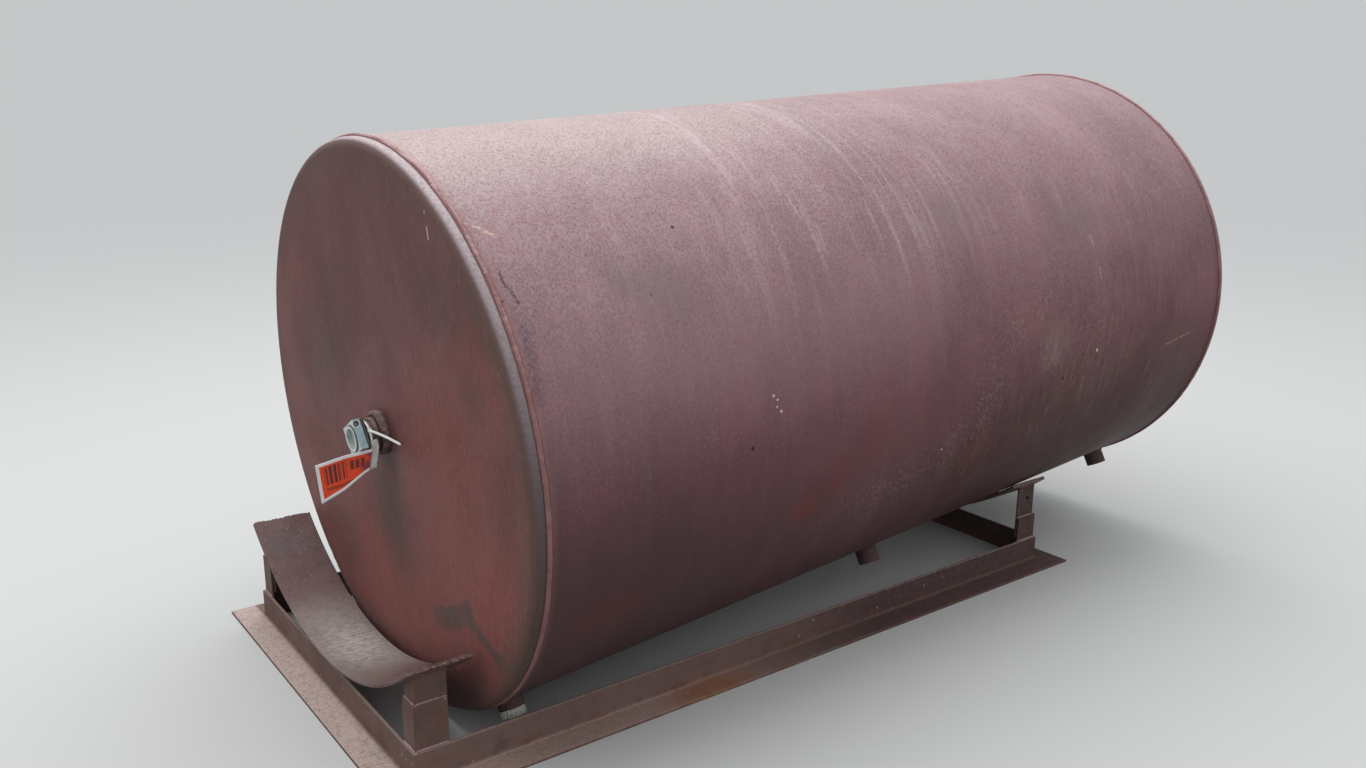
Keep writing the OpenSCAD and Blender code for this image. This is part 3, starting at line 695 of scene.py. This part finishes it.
def tag_material():
    """Orange label with a white border and plain dark bars, drawn by the label's own lengths in metres."""
    n = Paint("tag_label")
    along, depth, _ = n.split(n.node("UVMap", {}, uv_map="from_top"))
    from_end, height, _ = n.split(n.node("UVMap", {}, uv_map="from_bottom"))
    wear = n.noise(n.coord, 260, 4, 0.6)
    n.base(n.ramp(wear, 0.35, 0.65), (0.86, 0.06, 0.01), (0.95, 0.09, 0.016))
    # one group of bars of mixed widths
    first, second = [n.math("SINE", n.times(from_end, 2 * math.pi / pitch)) for pitch in (0.0088, 0.0049)]
    bars = n.math("GREATER_THAN", n.plus(first, n.times(second, 0.85)), -0.15)
    n.coat(TAG_INK, bars, n.within(from_end, 0.0130, 0.0630), n.within(depth, 0.0110, 0.0490), 0.92)
    # three plain blocks beside them
    step = n.math("FRACT", n.times(n.minus(from_end, 0.0706), 84))
    blocks = n.math("LESS_THAN", step, 0.72)
    n.coat(TAG_INK, blocks, n.within(from_end, 0.0706, 0.1062), n.within(depth, 0.0140, 0.0330), 0.9)
    # a row of dashes that runs towards the lower edge
    away = n.gap(n.plus(height, n.times(from_end, 0.27)), 0.0265)
    dash = n.math("LESS_THAN", n.math("FRACT", n.times(from_end, 240)), 0.66)
    n.coat(TAG_INK, dash, n.within(from_end, 0.0150, 0.0800), n.math("LESS_THAN", away, 0.0034), 0.85)
    # the end by the strap is creased and curls back, painted darker there as painted shade
    for centre, size in (((0.015, 0.036, 0), 0.022), ((0.006, 0.008, 0), 0.014)):
        curl_shade = n.near(n.join(along, depth, 0), centre, (size, size, 1), 0.25)
        n.coat((0.15, 0.022, 0.045), curl_shade, 0.8)
    edge = n.math("MINIMUM", n.math("MINIMUM", depth, height), from_end)
    n.coat((0.97, 0.95, 0.94), n.math("LESS_THAN", edge, TAG_BORDER))
    return n.finish(n.ramp(wear, 0.3, 0.7, 0.32, 0.5), [(wear, 0.1, 0.0003)])


shell_mat = shell_material()
head_mat = head_material("head_primer", True)
rear_head_mat = head_material("rear_head_primer", False)
weld_mat = weld_material("weld_primer", (0.27, 0.118, 0.116), (0.38, 0.19, 0.188), (0.14, 0.064, 0.062))
skid_weld_mat = weld_material("skid_weld", (0.12, 0.07, 0.062), (0.19, 0.112, 0.1), (0.06, 0.034, 0.03))
skid_mat = skid_material()
saddle_mat = saddle_material()
rust_mat = rust_material("rusty_iron", (0.14, 0.088, 0.078), (0.29, 0.195, 0.172))
bung_mat = rust_material("bung_primer", (0.085, 0.042, 0.04), (0.15, 0.08, 0.074))
pad_mat = rust_material("rough_weld", (0.105, 0.062, 0.056), (0.245, 0.15, 0.132), True)
collar_mat = rust_material("collar_iron", (0.122, 0.066, 0.056), (0.255, 0.15, 0.128), True)
bushing_mat = plain_material("bushing_zinc", (0.5, 0.47, 0.42), (0.74, 0.71, 0.65), 240, 0.45)
zinc_mat = zinc_material()
gasket_mat = plain_material("gasket_rubber", (0.012, 0.014, 0.016), (0.028, 0.03, 0.034), 300, 0.6)
shim_mat = plain_material("gasket_shim", (0.24, 0.24, 0.22), (0.34, 0.34, 0.32), 300, 0.55)
tie_mat = plain_material("tie_nylon", (0.92, 0.92, 0.92), (0.98, 0.98, 0.98), 200, 0.4)
tag_mat = tag_material()
tag_back_mat = plain_material("tag_back", (0.6, 0.61, 0.59), (0.78, 0.78, 0.76), 90, 0.45)

# which nodes wear which material; the rest of the skid is primed
LOOKS = [
    (shell_mat, ["tank_shell"]),
    (head_mat, ["front_head"]),
    (rear_head_mat, ["rear_head"]),
    (bung_mat, ["front_bung", "middle_bung", "rear_bung"]),
    (zinc_mat, ["front_bung_bushing", "hub_body", "hub_ring"]),
    (rust_mat, ["middle_bung_plug", "rear_bung_plug", "head_nipple"]),
    (collar_mat, ["head_coupling"]),
    (pad_mat, ["head_coupling_weld"]),
    (gasket_mat, ["hub_gasket"]),
    (tie_mat, ["cable_tie"]),
    (tag_mat, ["lot_tag"]),
    (saddle_mat, ["front_saddle", "rear_saddle"]),
]
LOOK = {node: mat for mat, nodes in LOOKS for node in nodes}

for name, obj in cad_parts.items():
    obj.data.materials.clear()
    obj.data.materials.append(LOOK.get(name, skid_mat))


# Mesh helpers

def ring_faces(loops, points, closed_path, capped=False):
    """Faces of a skin over loops of points, each loop a closed outline."""
    faces = []
    spans = loops if closed_path else loops - 1
    for i in range(spans):
        a = i * points
        b = ((i + 1) % loops) * points
        for j in range(points):
            k = (j + 1) % points
            faces.append((a + j, a + k, b + k, b + j))
    if capped:
        faces.append(tuple(range(points))[::-1])
        last = (loops - 1) * points
        faces.append(tuple(range(last, last + points)))
    return faces


def make_mesh(name, points, faces):
    me = bpy.data.meshes.new(name)
    me.from_pydata([tuple(p) for p in points], [], faces)
    return me


def add_piece(name, loops, material, place=None, closed_path=False, capped=False, sharp=None):
    """A mesh object skinned over loops of points, moved by the matrix place."""
    points = [p for loop in loops for p in loop]
    me = make_mesh(name, points, ring_faces(len(loops), len(loops[0]), closed_path, capped))
    if place is not None:
        me.transform(place)
    return add_object(name, me, material, sharp)


def add_object(name, me, material, sharp=None):
    """A smooth object; edges steeper than sharp degrees stay sharp."""
    bm = bmesh.new()
    bm.from_mesh(me)
    bmesh.ops.recalc_face_normals(bm, faces=bm.faces)
    for face in bm.faces:
        face.smooth = True
    if sharp is not None:
        for edge in bm.edges:
            if len(edge.link_faces) == 2 and edge.calc_face_angle() > math.radians(sharp):
                edge.smooth = False
    bm.to_mesh(me)
    bm.free()
    me.materials.append(material)
    return show(name, me)


def declare(obj, slot, *replaced):
    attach(obj, "root")
    if replaced:
        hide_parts(*replaced)


def lump(point, scale, seed):
    return noise.noise(Vector(point) * scale + Vector((seed * 7.3, seed * 3.1, seed * 5.7)))


def sweep(path, section, side, closed=False):
    """Loops of a section carried along a path; section(i) gives its points across and along side."""
    loops = []
    count = len(path)
    for i, at in enumerate(path):
        before = path[(i - 1) % count] if closed or i > 0 else at
        after = path[(i + 1) % count] if closed or i < count - 1 else at
        ahead = (after - before).normalized()
        lean = side(i) if callable(side) else side
        lean = (lean - ahead * lean.dot(ahead)).normalized()
        across = ahead.cross(lean)
        loops.append([at + across * a + lean * b for a, b in section(i)])
    return loops


def revolved(profile, steps, wobble):
    """Loops round the z axis of a closed profile of (radius, height); wobble moves each point."""
    loops = []
    for i in range(steps):
        angle = 2 * math.pi * i / steps
        out = Vector((math.cos(angle), math.sin(angle), 0))
        loops.append([wobble(out * r + Vector((0, 0, z)), out) for r, z in profile])
    return loops


# Welds round the tank

BEAD_R = 0.0043
BEAD_PROUD = 0.0006
BEAD_STEPS = 1440
BEAD_POINTS = 10
OVERLAP_START = math.radians(19)
OVERLAP_END = math.radians(30)


def girth_weld(name, at, seed, overlap):
    """Rippled bead; overlap gives it the hump where its end runs over its start."""
    path = []
    radii = []
    for i in range(BEAD_STEPS):
        angle = 2 * math.pi * i / BEAD_STEPS
        out = Vector((0, -math.sin(angle), math.cos(angle)))
        wander = 0.0011 * noise.noise(Vector((math.sin(angle) * 9, math.cos(angle) * 9, seed)))
        swell = 1 + 0.16 * noise.noise(out * 26 + Vector((seed, 0, 0))) + 0.10 * noise.noise(out * 150)
        ripple = 0.00010 * math.sin(i * 2 * math.pi / 7)
        if overlap and OVERLAP_START < angle < OVERLAP_END:
            hump = math.sin(math.pi * (angle - OVERLAP_START) / (OVERLAP_END - OVERLAP_START))
            wander += 0.0035 * hump
            swell += 0.35 * hump + 0.25 * noise.noise(out * 90)
        path.append(Vector((at + wander, 0, 0)) + out * (TANK_R + BEAD_PROUD))
        radii.append(BEAD_R * swell + ripple)

    def section(i):
        turns = [2 * math.pi * j / BEAD_POINTS for j in range(BEAD_POINTS)]
        return [(radii[i] * 1.1 * math.cos(turn), radii[i] * math.sin(turn)) for turn in turns]

    def side(i):
        return Vector((0, path[i].y, path[i].z)).normalized()

    loops = sweep(path, section, side, closed=True)
    declare(add_piece(name, loops, weld_mat, TANK, closed_path=True), "weld_primer")


girth_weld("front_girth_weld", FLANGE, 1.0, True)
girth_weld("rear_girth_weld", TANK_LEN - FLANGE, 4.0, False)


# Fitting on the front head

def arc(centre, radius, start, end, steps):
    """Points of an arc between two angles in degrees."""
    turns = [math.radians(start + (end - start) * i / steps) for i in range(steps + 1)]
    return [(centre[0] + radius * math.cos(turn), centre[1] + radius * math.sin(turn)) for turn in turns]


def fitting_pad():
    """The lumpy weld round the foot of the coupling."""
    pad_r = 0.013
    sunk = 0.001
    shoulder = 0.0030
    profile = [(COUPLING_R - 0.002, -sunk), (COUPLING_R + pad_r, -sunk)]
    profile += arc((COUPLING_R + shoulder, 0.006), pad_r - shoulder, 0, 90, 10)
    profile += [(COUPLING_R + 0.0012, 0.0145), (COUPLING_R + 0.0002, 0.0105), (COUPLING_R - 0.002, 0.0100)]

    def wobble(point, out):
        coarse = 0.0050 * lump(point, 34, 1)
        medium = 0.0014 * lump(point, 100, 2)
        small = 0.0007 * lump(point, 330, 3)
        rise = min(1.0, max(0.0, point.z * 140))
        share = (math.hypot(point.x, point.y) - COUPLING_R + 0.002) / pad_r
        push = (coarse + medium + small) * max(0.15, share)
        lift = Vector((0, 0, (medium + coarse) * 0.7 * rise))
        return point + out * push + lift

    loops = revolved(profile, 160, wobble)
    pad = add_piece("fitting_weld_pad", loops, pad_mat, FITTING, closed_path=True)
    declare(pad, "weld_primer", "head_coupling_weld")


def fitting_coupling():
    """The coupling, pitted and out of round, with a smooth bore."""
    edge = 0.003
    bore = NIPPLE_R - 0.0005
    profile = [(bore, 0.0), (COUPLING_R, 0.0), (COUPLING_R, 0.010), (COUPLING_R, 0.017)]
    profile += arc((COUPLING_R - edge, COUPLING_OUT - edge), edge, 0, 90, 5)
    profile += [(NIPPLE_R + 0.001, COUPLING_OUT - 0.001), (bore, COUPLING_OUT - 0.003)]

    def wobble(point, out):
        if math.hypot(point.x, point.y) < NIPPLE_R + 0.0005:
            return point
        rough = 0.0016 * lump(point, 70, 5) + 0.0009 * lump(point, 260, 6)
        notch = -0.0022 * max(0.0, lump(point, 48, 9) - 0.18)
        top = min(1.0, point.z / COUPLING_OUT)
        return point + out * (rough + notch) + Vector((0, 0, 1.3 * rough * top))

    loops = revolved(profile, 144, wobble)
    coupling = add_piece("fitting_coupling", loops, collar_mat, FITTING, closed_path=True)
    declare(coupling, "tank_primer", "head_coupling")


GASKET_CORNER = 0.004
GASKET_HOLE_R = 0.026
GASKET_LAYER = 0.0032


def square_outline(side):
    """Outline of a square with rounded corners, turned as the fitting's block is."""
    half = side / 2 - GASKET_CORNER
    points = []
    for quarter, (sx, sy) in enumerate(((1, 1), (-1, 1), (-1, -1), (1, -1))):
        points += arc((sx * half, sy * half), GASKET_CORNER, 90 * quarter, 90 * quarter + 90, 8)
    turn = Matrix.Rotation(HUB_TURN, 2)
    return [turn @ Vector(p) for p in points]


def gasket_layer(name, slot, side, low, high, edge, material):
    """Square plate with rounded edges and a round hole, its axis along z."""
    outer = square_outline(side)
    inner = square_outline(side - 2 * edge)
    hole = [p.normalized() * GASKET_HOLE_R for p in outer]
    levels = [
        (hole, low), (inner, low), (outer, low + edge), (outer, high - edge), (inner, high), (hole, high),
    ]
    loops = [[Vector((p.x, p.y, z)) for p in outline] for outline, z in levels]
    declare(add_piece(name, loops, material, FITTING, closed_path=True, sharp=50), slot, "hub_gasket")


def fitting_gasket():
    """Two rubber layers with a thin shim between them."""
    low = NIPPLE_OUT + GASKET_LAYER
    top = NIPPLE_OUT + GASKET_T
    high = top - GASKET_LAYER
    gasket_layer("gasket_inner", "gasket", HUB_SIDE - 0.001, NIPPLE_OUT, low, 0.0004, gasket_mat)
    gasket_layer("gasket_shim", "zinc", HUB_SIDE - 0.0004, low, high, 0.0002, shim_mat)
    gasket_layer("gasket_outer", "gasket", HUB_SIDE, high, top, 0.0004, gasket_mat)


fitting_pad()
fitting_coupling()
fitting_gasket()


# Cable tie

LOOP_R = 0.0366
LOOP_HANG = math.radians(62)
LOOP_SLACK = 0.00438
LOOP_K = 0.038
LOOP_AT = Vector((
    -LOOP_K,
    FITTING_U - LOOP_SLACK * math.sin(LOOP_HANG),
    FITTING_V - LOOP_SLACK * math.cos(LOOP_HANG),
))
TIE_TURN = math.radians(52)
TIE_HEAD_AT = LOOP_AT + Vector((0, -math.sin(TIE_TURN), math.cos(TIE_TURN))) * LOOP_R
TIE_HEAD_SIZE = (0.0070, 0.0088, 0.0064)
TAIL_LEN = 0.090
TAIL_TURN = math.radians(70.7)
TAIL_FALL = math.radians(11.3)


def band(width, thick):
    """Section of a flat strap with rounded edges: thick across, width along the side."""
    a = thick / 2
    b = width / 2
    c = min(a, b) * 0.5
    half = [(a, b - c), (a - c, b), (c - a, b), (-a, b - c)]
    return half + [(-x, -y) for x, y in half]


def tie_strap():
    """The loop round the nipple."""
    steps = 160
    path = []
    for i in range(steps):
        angle = 2 * math.pi * i / steps
        r = LOOP_R + 0.0004 * math.sin(3 * angle + 1)
        sway = 0.0006 * math.sin(2 * angle)
        path.append(LOOP_AT + Vector((sway, -r * math.sin(angle), r * math.cos(angle))))
    loops = sweep(path, lambda i: band(0.0046, 0.0014), Vector((1, 0, 0)), closed=True)
    strap = add_piece("cable_tie_strap", loops, tie_mat, TANK, closed_path=True, sharp=60)
    declare(strap, "tie", "cable_tie")


def tie_head():
    """The lock, with a slot in its top."""
    bm = bmesh.new()
    bmesh.ops.create_cube(bm, size=1.0)
    bmesh.ops.scale(bm, vec=TIE_HEAD_SIZE, verts=bm.verts)
    bmesh.ops.bevel(bm, geom=bm.edges[:], offset=0.0011, segments=3, affect="EDGES", profile=0.6)
    top = [f for f in bm.faces if f.normal.z > 0.99]
    bmesh.ops.inset_region(bm, faces=top, thickness=0.0009)
    bmesh.ops.translate(bm, vec=(0, 0, -0.0014), verts=list({v for f in top for v in f.verts}))
    turn = Matrix.Rotation(TIE_TURN, 4, "X")
    bm.transform(TANK @ Matrix.Translation(TIE_HEAD_AT + Vector((0.0008, 0, 0))) @ turn)
    me = bpy.data.meshes.new("cable_tie_head")
    bm.to_mesh(me)
    bm.free()
    declare(add_object("cable_tie_head", me, tie_mat, 50), "tie", "cable_tie")


def tie_tail():
    """The straight end of the strap, toothed and narrow at its tip."""
    flat = math.cos(TAIL_FALL)
    ahead = Vector((flat * math.cos(TAIL_TURN), -flat * math.sin(TAIL_TURN), -math.sin(TAIL_FALL)))
    steps = 200
    path = []
    for i in range(steps + 1):
        share = i / steps
        bow = 0.0022 * math.sin(math.pi * share)
        path.append(TIE_HEAD_AT + ahead * (TAIL_LEN * share) + Vector((0, 0, bow)))

    def section(i):
        share = i / steps
        narrow = 1.0 if share < 0.94 else max(0.45, 1 - (share - 0.94) * 9.0)
        tooth = 0.00022 * (i % 4 in (1, 2)) * (0.08 < share < 0.84)
        return band(0.0052 * narrow, 0.0016 + tooth)

    loops = sweep(path, section, Vector((0.35, 0.0, 0.93)))
    declare(add_piece("cable_tie_tail", loops, tie_mat, TANK, capped=True, sharp=60), "tie", "cable_tie")


tie_strap()
tie_head()
tie_tail()


# Tag hanging on the cable tie, as lines of (share of its length, place along it and height)

TAG_LEN = 0.119
TAG_TURN = math.radians(20)
TAG_T = 0.0006
TAG_START = Vector((-LOOP_K, FITTING_U - 0.04283, FITTING_V - 0.013))
TAG_ALONG = Vector((-math.cos(TAG_TURN), math.sin(TAG_TURN), 0))
TAG_OUT = Vector((-math.sin(TAG_TURN), -math.cos(TAG_TURN), 0))
TAG_TOP = [(0, (0.0024, -0.0036)), (0.5, (0.0600, -0.0105)), (1, (0.1190, -0.0240))]
TAG_BOTTOM = [
    (0, (0.0130, -0.0500)), (0.12, (0.0230, -0.0545)), (0.57, (0.0678, -0.0845)), (1, (0.1160, -0.1080)),
]
FOLD_TOP = [
    (0, (0.0024, 0.0060)), (0.35, (-0.0032, 0.0140)), (0.75, (-0.0099, 0.0156)), (1, (-0.0124, -0.0023)),
]
FOLD_BOTTOM = [(0, (0.0173, -0.0518)), (0.75, (0.0010, -0.0480)), (1, (-0.0018, -0.0473))]


def along_line(stops, share):
    """Place at that share of the way along stops of (share, place)."""
    for (s0, p0), (s1, p1) in zip(stops, stops[1:]):
        if share <= s1:
            return Vector(p0).lerp(Vector(p1), (share - s0) / (s1 - s0))
    return Vector(stops[-1][1])


def tag_sheet(name, top_line, bottom_line, across, down, bend):
    """Mesh of a sheet between two lines, bent outwards, and its lengths from the top and the bottom."""
    points = []
    marks = []
    for i in range(across + 1):
        share = i / across
        top = along_line(top_line, share)
        bottom = along_line(bottom_line, share)
        length = (bottom - top).length
        for j in range(down + 1):
            fall = j / down
            flat = top.lerp(bottom, fall)
            place = TAG_START + TAG_ALONG * flat.x + Vector((0, 0, flat.y)) + TAG_OUT * bend(share, fall)
            points.append(TANK @ place)
            marks.append(((flat.x, fall * length), ((1 - share) * TAG_LEN, (1 - fall) * length)))
    row = down + 1
    starts = [i * row + j for i in range(across) for j in range(down)]
    return make_mesh(name, points, [(a, a + row, a + row + 1, a + 1) for a in starts]), marks


def thicken(obj):
    solid = obj.modifiers.new("thickness", "SOLIDIFY")
    solid.thickness = TAG_T
    solid.offset = 0.0
    return solid


def tag_label():
    """The printed part of the tag, with its back in the second material."""
    def bend(share, fall):
        curl = 0.0045 * math.sin(math.pi * share) * fall ** 2 - 0.0030 * share ** 2 * (1 - fall)
        return curl + 0.0060 * max(0.0, share - 0.6) * fall

    me, marks = tag_sheet("tag_label", TAG_TOP, TAG_BOTTOM, 60, 30, bend)
    layers = [me.uv_layers.new(name=name) for name in ("from_top", "from_bottom")]
    for corner in me.loops:
        for layer, mark in zip(layers, marks[corner.vertex_index]):
            layer.data[corner.index].uv = mark
    me.materials.append(tag_mat)
    me.materials.append(tag_back_mat)
    for poly in me.polygons:
        poly.use_smooth = True
    obj = show("tag_label", me)
    solid = thicken(obj)
    solid.material_offset = 1
    solid.material_offset_rim = 1
    declare(obj, "tag", "lot_tag")


def tag_fold():
    """The part of the tag that is folded back behind the strap."""
    def bend(share, fall):
        return -0.0012 - 0.0022 * math.sin(math.pi * share * 0.5)

    me, _ = tag_sheet("tag_fold", FOLD_TOP, FOLD_BOTTOM, 10, 16, bend)
    obj = add_object("tag_fold", me, tag_back_mat)
    thicken(obj)
    declare(obj, "tag", "lot_tag")


tag_label()
tag_fold()


# Bushing in the front coupling

def bushing():
    """Bright ribbed bushing screwed into the front coupling."""
    low = 0.024
    high = 0.044
    outer = 0.0262
    bore = 0.013
    ribs = 18
    rib_depth = 0.0013
    bung = TANK @ Matrix.Translation((FRONT_BUNG_AT, 0, 0))
    bung = bung @ Matrix.Rotation(math.pi - BUNG_TURN, 4, "X") @ Matrix.Translation((0, 0, TANK_R))
    profile = [
        (bore, low), (outer - 0.002, low), (outer, low + 0.0015), (outer, high - 0.0020),
        (outer - 0.0020, high), (bore + 0.0015, high), (bore, high - 0.001),
    ]

    def wobble(point, out):
        if math.hypot(point.x, point.y) < outer - 0.004:
            return point
        angle = math.atan2(point.y, point.x)
        return point + out * (rib_depth * max(-0.4, math.cos(angle * ribs)))

    loops = revolved(profile, ribs * 8, wobble)
    piece = add_piece("ribbed_bushing", loops, bushing_mat, bung, closed_path=True, sharp=50)
    declare(piece, "zinc", "front_bung_bushing")


bushing()


# Saddles, with torch-cut ends

def corners(node):
    low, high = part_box(node)
    return Vector(low), Vector(high)


def saddle(name, node, seed):
    """A saddle's plate, slightly wavy, with slag on its ragged cut ends."""
    low, high = corners(node)
    centre_z = low.z + SADDLE_T + SADDLE_R
    end = math.asin(SADDLE_HALF / (SADDLE_R + SADDLE_T))
    outer_r = SADDLE_R + SADDLE_T
    along = 40
    steps = 150
    edge = 0.0016

    def cut(x, side):
        """How far, in radians, the ragged cut end is from its straight line."""
        tooth = 0.0030 * abs(math.sin((x * 95 + seed) * math.pi)) + 0.0026 * lump((x, side, 0), 70, seed)
        small = 0.0009 * lump((x, side, 0), 320, seed + 2)
        return (tooth + small - 0.0034) / SADDLE_R

    flat = [low.x + edge + (high.x - low.x - 2 * edge) * i / along for i in range(along + 1)]
    across = [(x, SADDLE_R) for x in flat]
    across += [(high.x, SADDLE_R + edge), (high.x, outer_r - edge)]
    across += [(x, outer_r) for x in reversed(flat)]
    across += [(low.x, outer_r - edge), (low.x, SADDLE_R + edge)]

    loops = []
    for i in range(steps + 1):
        share = i / steps
        near_end = max(0.0, 1 - min(share, 1 - share) * 60)
        loop = []
        for x, r in across:
            left = end + cut(x, 1)
            right = -end - cut(x, -1)
            angle = right + (left - right) * share
            dent = 0.0005 * lump((x, angle, r), 9, seed) - 0.0005
            slag = 0.0022 * near_end * lump((x, angle * 3, r), 130, seed + 1)
            radius = r - dent + (slag if r > SADDLE_R else 0.4 * abs(slag))
            loop.append(Vector((x, radius * math.sin(angle), centre_z - radius * math.cos(angle))))
        loops.append(loop)
    declare(add_piece(name, loops, saddle_mat, capped=True, sharp=40), "skid_primer", node)


saddle("front_saddle_plate", "front_saddle", 2)
saddle("rear_saddle_plate", "rear_saddle", 6)


# Weld beads on the skid

STUB_BEAD_R = 0.0032
SADDLE_BEAD_R = 0.0042
BEAD_OFF = 0.001


def bead_loops(stops, radius, seed):
    """Lumpy bead along straight stops, thinning at both ends."""
    path = []
    for a, b in zip(stops, stops[1:]):
        a = Vector(a)
        b = Vector(b)
        count = max(2, int((b - a).length / 0.0011))
        path += [a.lerp(b, i / count) for i in range(count)]
    path.append(Vector(stops[-1]))
    count = len(path)

    def section(i):
        share = i / (count - 1)
        taper = min(1.0, 0.35 + 9 * min(share, 1 - share))
        swell = 1 + 0.28 * lump(path[i], 90, seed) + 0.14 * math.sin(i * 1.9)
        r = radius * taper * swell
        return [(r * math.cos(math.pi * j / 4), r * math.sin(math.pi * j / 4)) for j in range(8)]

    return sweep(path, section, Vector((0.11, 0.07, 1.0)))


def skid_welds(end, side):
    """Beads at a stub's foot, round its top and where the post meets the saddle."""
    back = 1 if end == "front" else -1
    inward = 1 if side == "right" else -1

    def sides(node):
        """x at the skid's end and further in, then y at its side and further in."""
        near, far = corners(node)[::back]
        outer, inner = corners(node)[::inward]
        return near.x, far.x, outer.y, inner.y

    def round_corner(x, far_x, y, far_y, z):
        return [
            [(x, y - inward * BEAD_OFF, z), (far_x, y - inward * BEAD_OFF, z)],
            [(x - back * BEAD_OFF, y, z), (x - back * BEAD_OFF, far_y, z)],
        ]

    stub = sides(f"{end}_{side}_stub")
    post = sides(f"{end}_{side}_post")
    stub_top = corners(f"{end}_{side}_stub")[1].z
    under = SADDLE_R + SADDLE_T
    centre_z = corners(f"{end}_saddle")[0].z + SADDLE_T + SADDLE_R

    def sole(x, y):
        """Point on the underside of the saddle."""
        return x, y, centre_z - math.sqrt(under * under - y * y)

    x, far_x, y, far_y = post
    runs = round_corner(*stub, RAIL_H) + round_corner(*post, stub_top)
    runs.append([sole(x, y), sole(far_x, y)])
    runs.append([sole(x, y + (far_y - y) * i / 6) for i in range(7)])
    points = []
    faces = []
    for seed, stops in enumerate(runs):
        radius = STUB_BEAD_R if seed < 4 else SADDLE_BEAD_R
        loops = bead_loops(stops, radius, seed + stub[0] * 10)
        base = len(points)
        points += [p for loop in loops for p in loop]
        faces += [tuple(base + k for k in face) for face in ring_faces(len(loops), 8, False, True)]
    name = f"{end}_{side}_welds"
    declare(add_object(name, make_mesh(name, points, faces), skid_weld_mat), "weld_primer")


for end in ("front", "rear"):
    for side in ("right", "left"):
        skid_welds(end, side)


# Small edges on the zinc block and its ring

def soften(node, width, segments):
    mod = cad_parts[node].modifiers.new("edges", "BEVEL")
    mod.width = width
    mod.segments = segments
    mod.limit_method = "ANGLE"
    mod.angle_limit = math.radians(40)
    mod.use_clamp_overlap = True


soften("hub_body", 0.0012, 3)
soften("hub_ring", 0.0008, 2)


# Stage and light

FLOOR_HALF = 30
FLOOR_SEEN = ((0.60, 0.60, 0.591), (0.60, 0.60, 0.59))
FLOOR_LIT = (0.13, 0.13, 0.1248)
SKY_TINT = (0.95, 0.975, 1.0)
SKY_TOP = 1.10
SKY_EDGE = 0.56
SKY_SEEN = (0.557, 0.573, 0.578)


def make_floor():
    """Pale to the camera and in reflections, darker for the light that it throws back."""
    h = FLOOR_HALF
    me = make_mesh("floor", [(-h, -h, 0), (h, -h, 0), (h, h, 0), (-h, h, 0)], [(0, 1, 2, 3)])
    floor = show("floor", me)
    n = Paint("floor_paper")
    direct = n.most(n.node("LightPath", {}, "Is Camera Ray"), n.node("LightPath", {}, "Is Glossy Ray"))
    direct = n.most(direct, n.node("LightPath", {}, "Is Transmission Ray"))
    n.base(direct, FLOOR_LIT, n.mix(n.noise(n.coord, 3, 2), *FLOOR_SEEN))
    me.materials.append(n.finish(0.9, specular=0.1))


def make_world():
    """A sky that brightens upwards; the camera sees one plain tone."""
    world = bpy.data.worlds.new("world")
    bpy.context.scene.world = world
    n = Nodes(world, "World")
    height = n.split(n.node("TexCoord", {}, "Generated"))[2]
    sky = n.node("Background", {0: SKY_TINT, 1: n.ramp(height, 0.0, 0.9, SKY_EDGE, SKY_TOP)})
    seen = n.node("Background", {0: SKY_SEEN})
    ray = n.node("LightPath", {}, "Is Camera Ray")
    n.put(n.out, n.node("MixShader", {0: ray, 1: sky, 2: seen}))


def area_light(name, at, aim, size, power):
    data = bpy.data.lights.new(name, "AREA")
    data.shape = "RECTANGLE"
    data.size, data.size_y = size
    data.energy = power
    lamp = show(name, data)
    lamp.location = at
    lamp.rotation_mode = "QUATERNION"
    lamp.rotation_quaternion = (Vector(aim) - Vector(at)).to_track_quat("-Z", "Y")


make_floor()
make_world()
area_light("top_light", (1.0, 0.8, 4.6), (1.1, 0.0, 0.8), (6.0, 4.5), 120.0)

bpy.context.scene.view_settings.view_transform = "Standard"
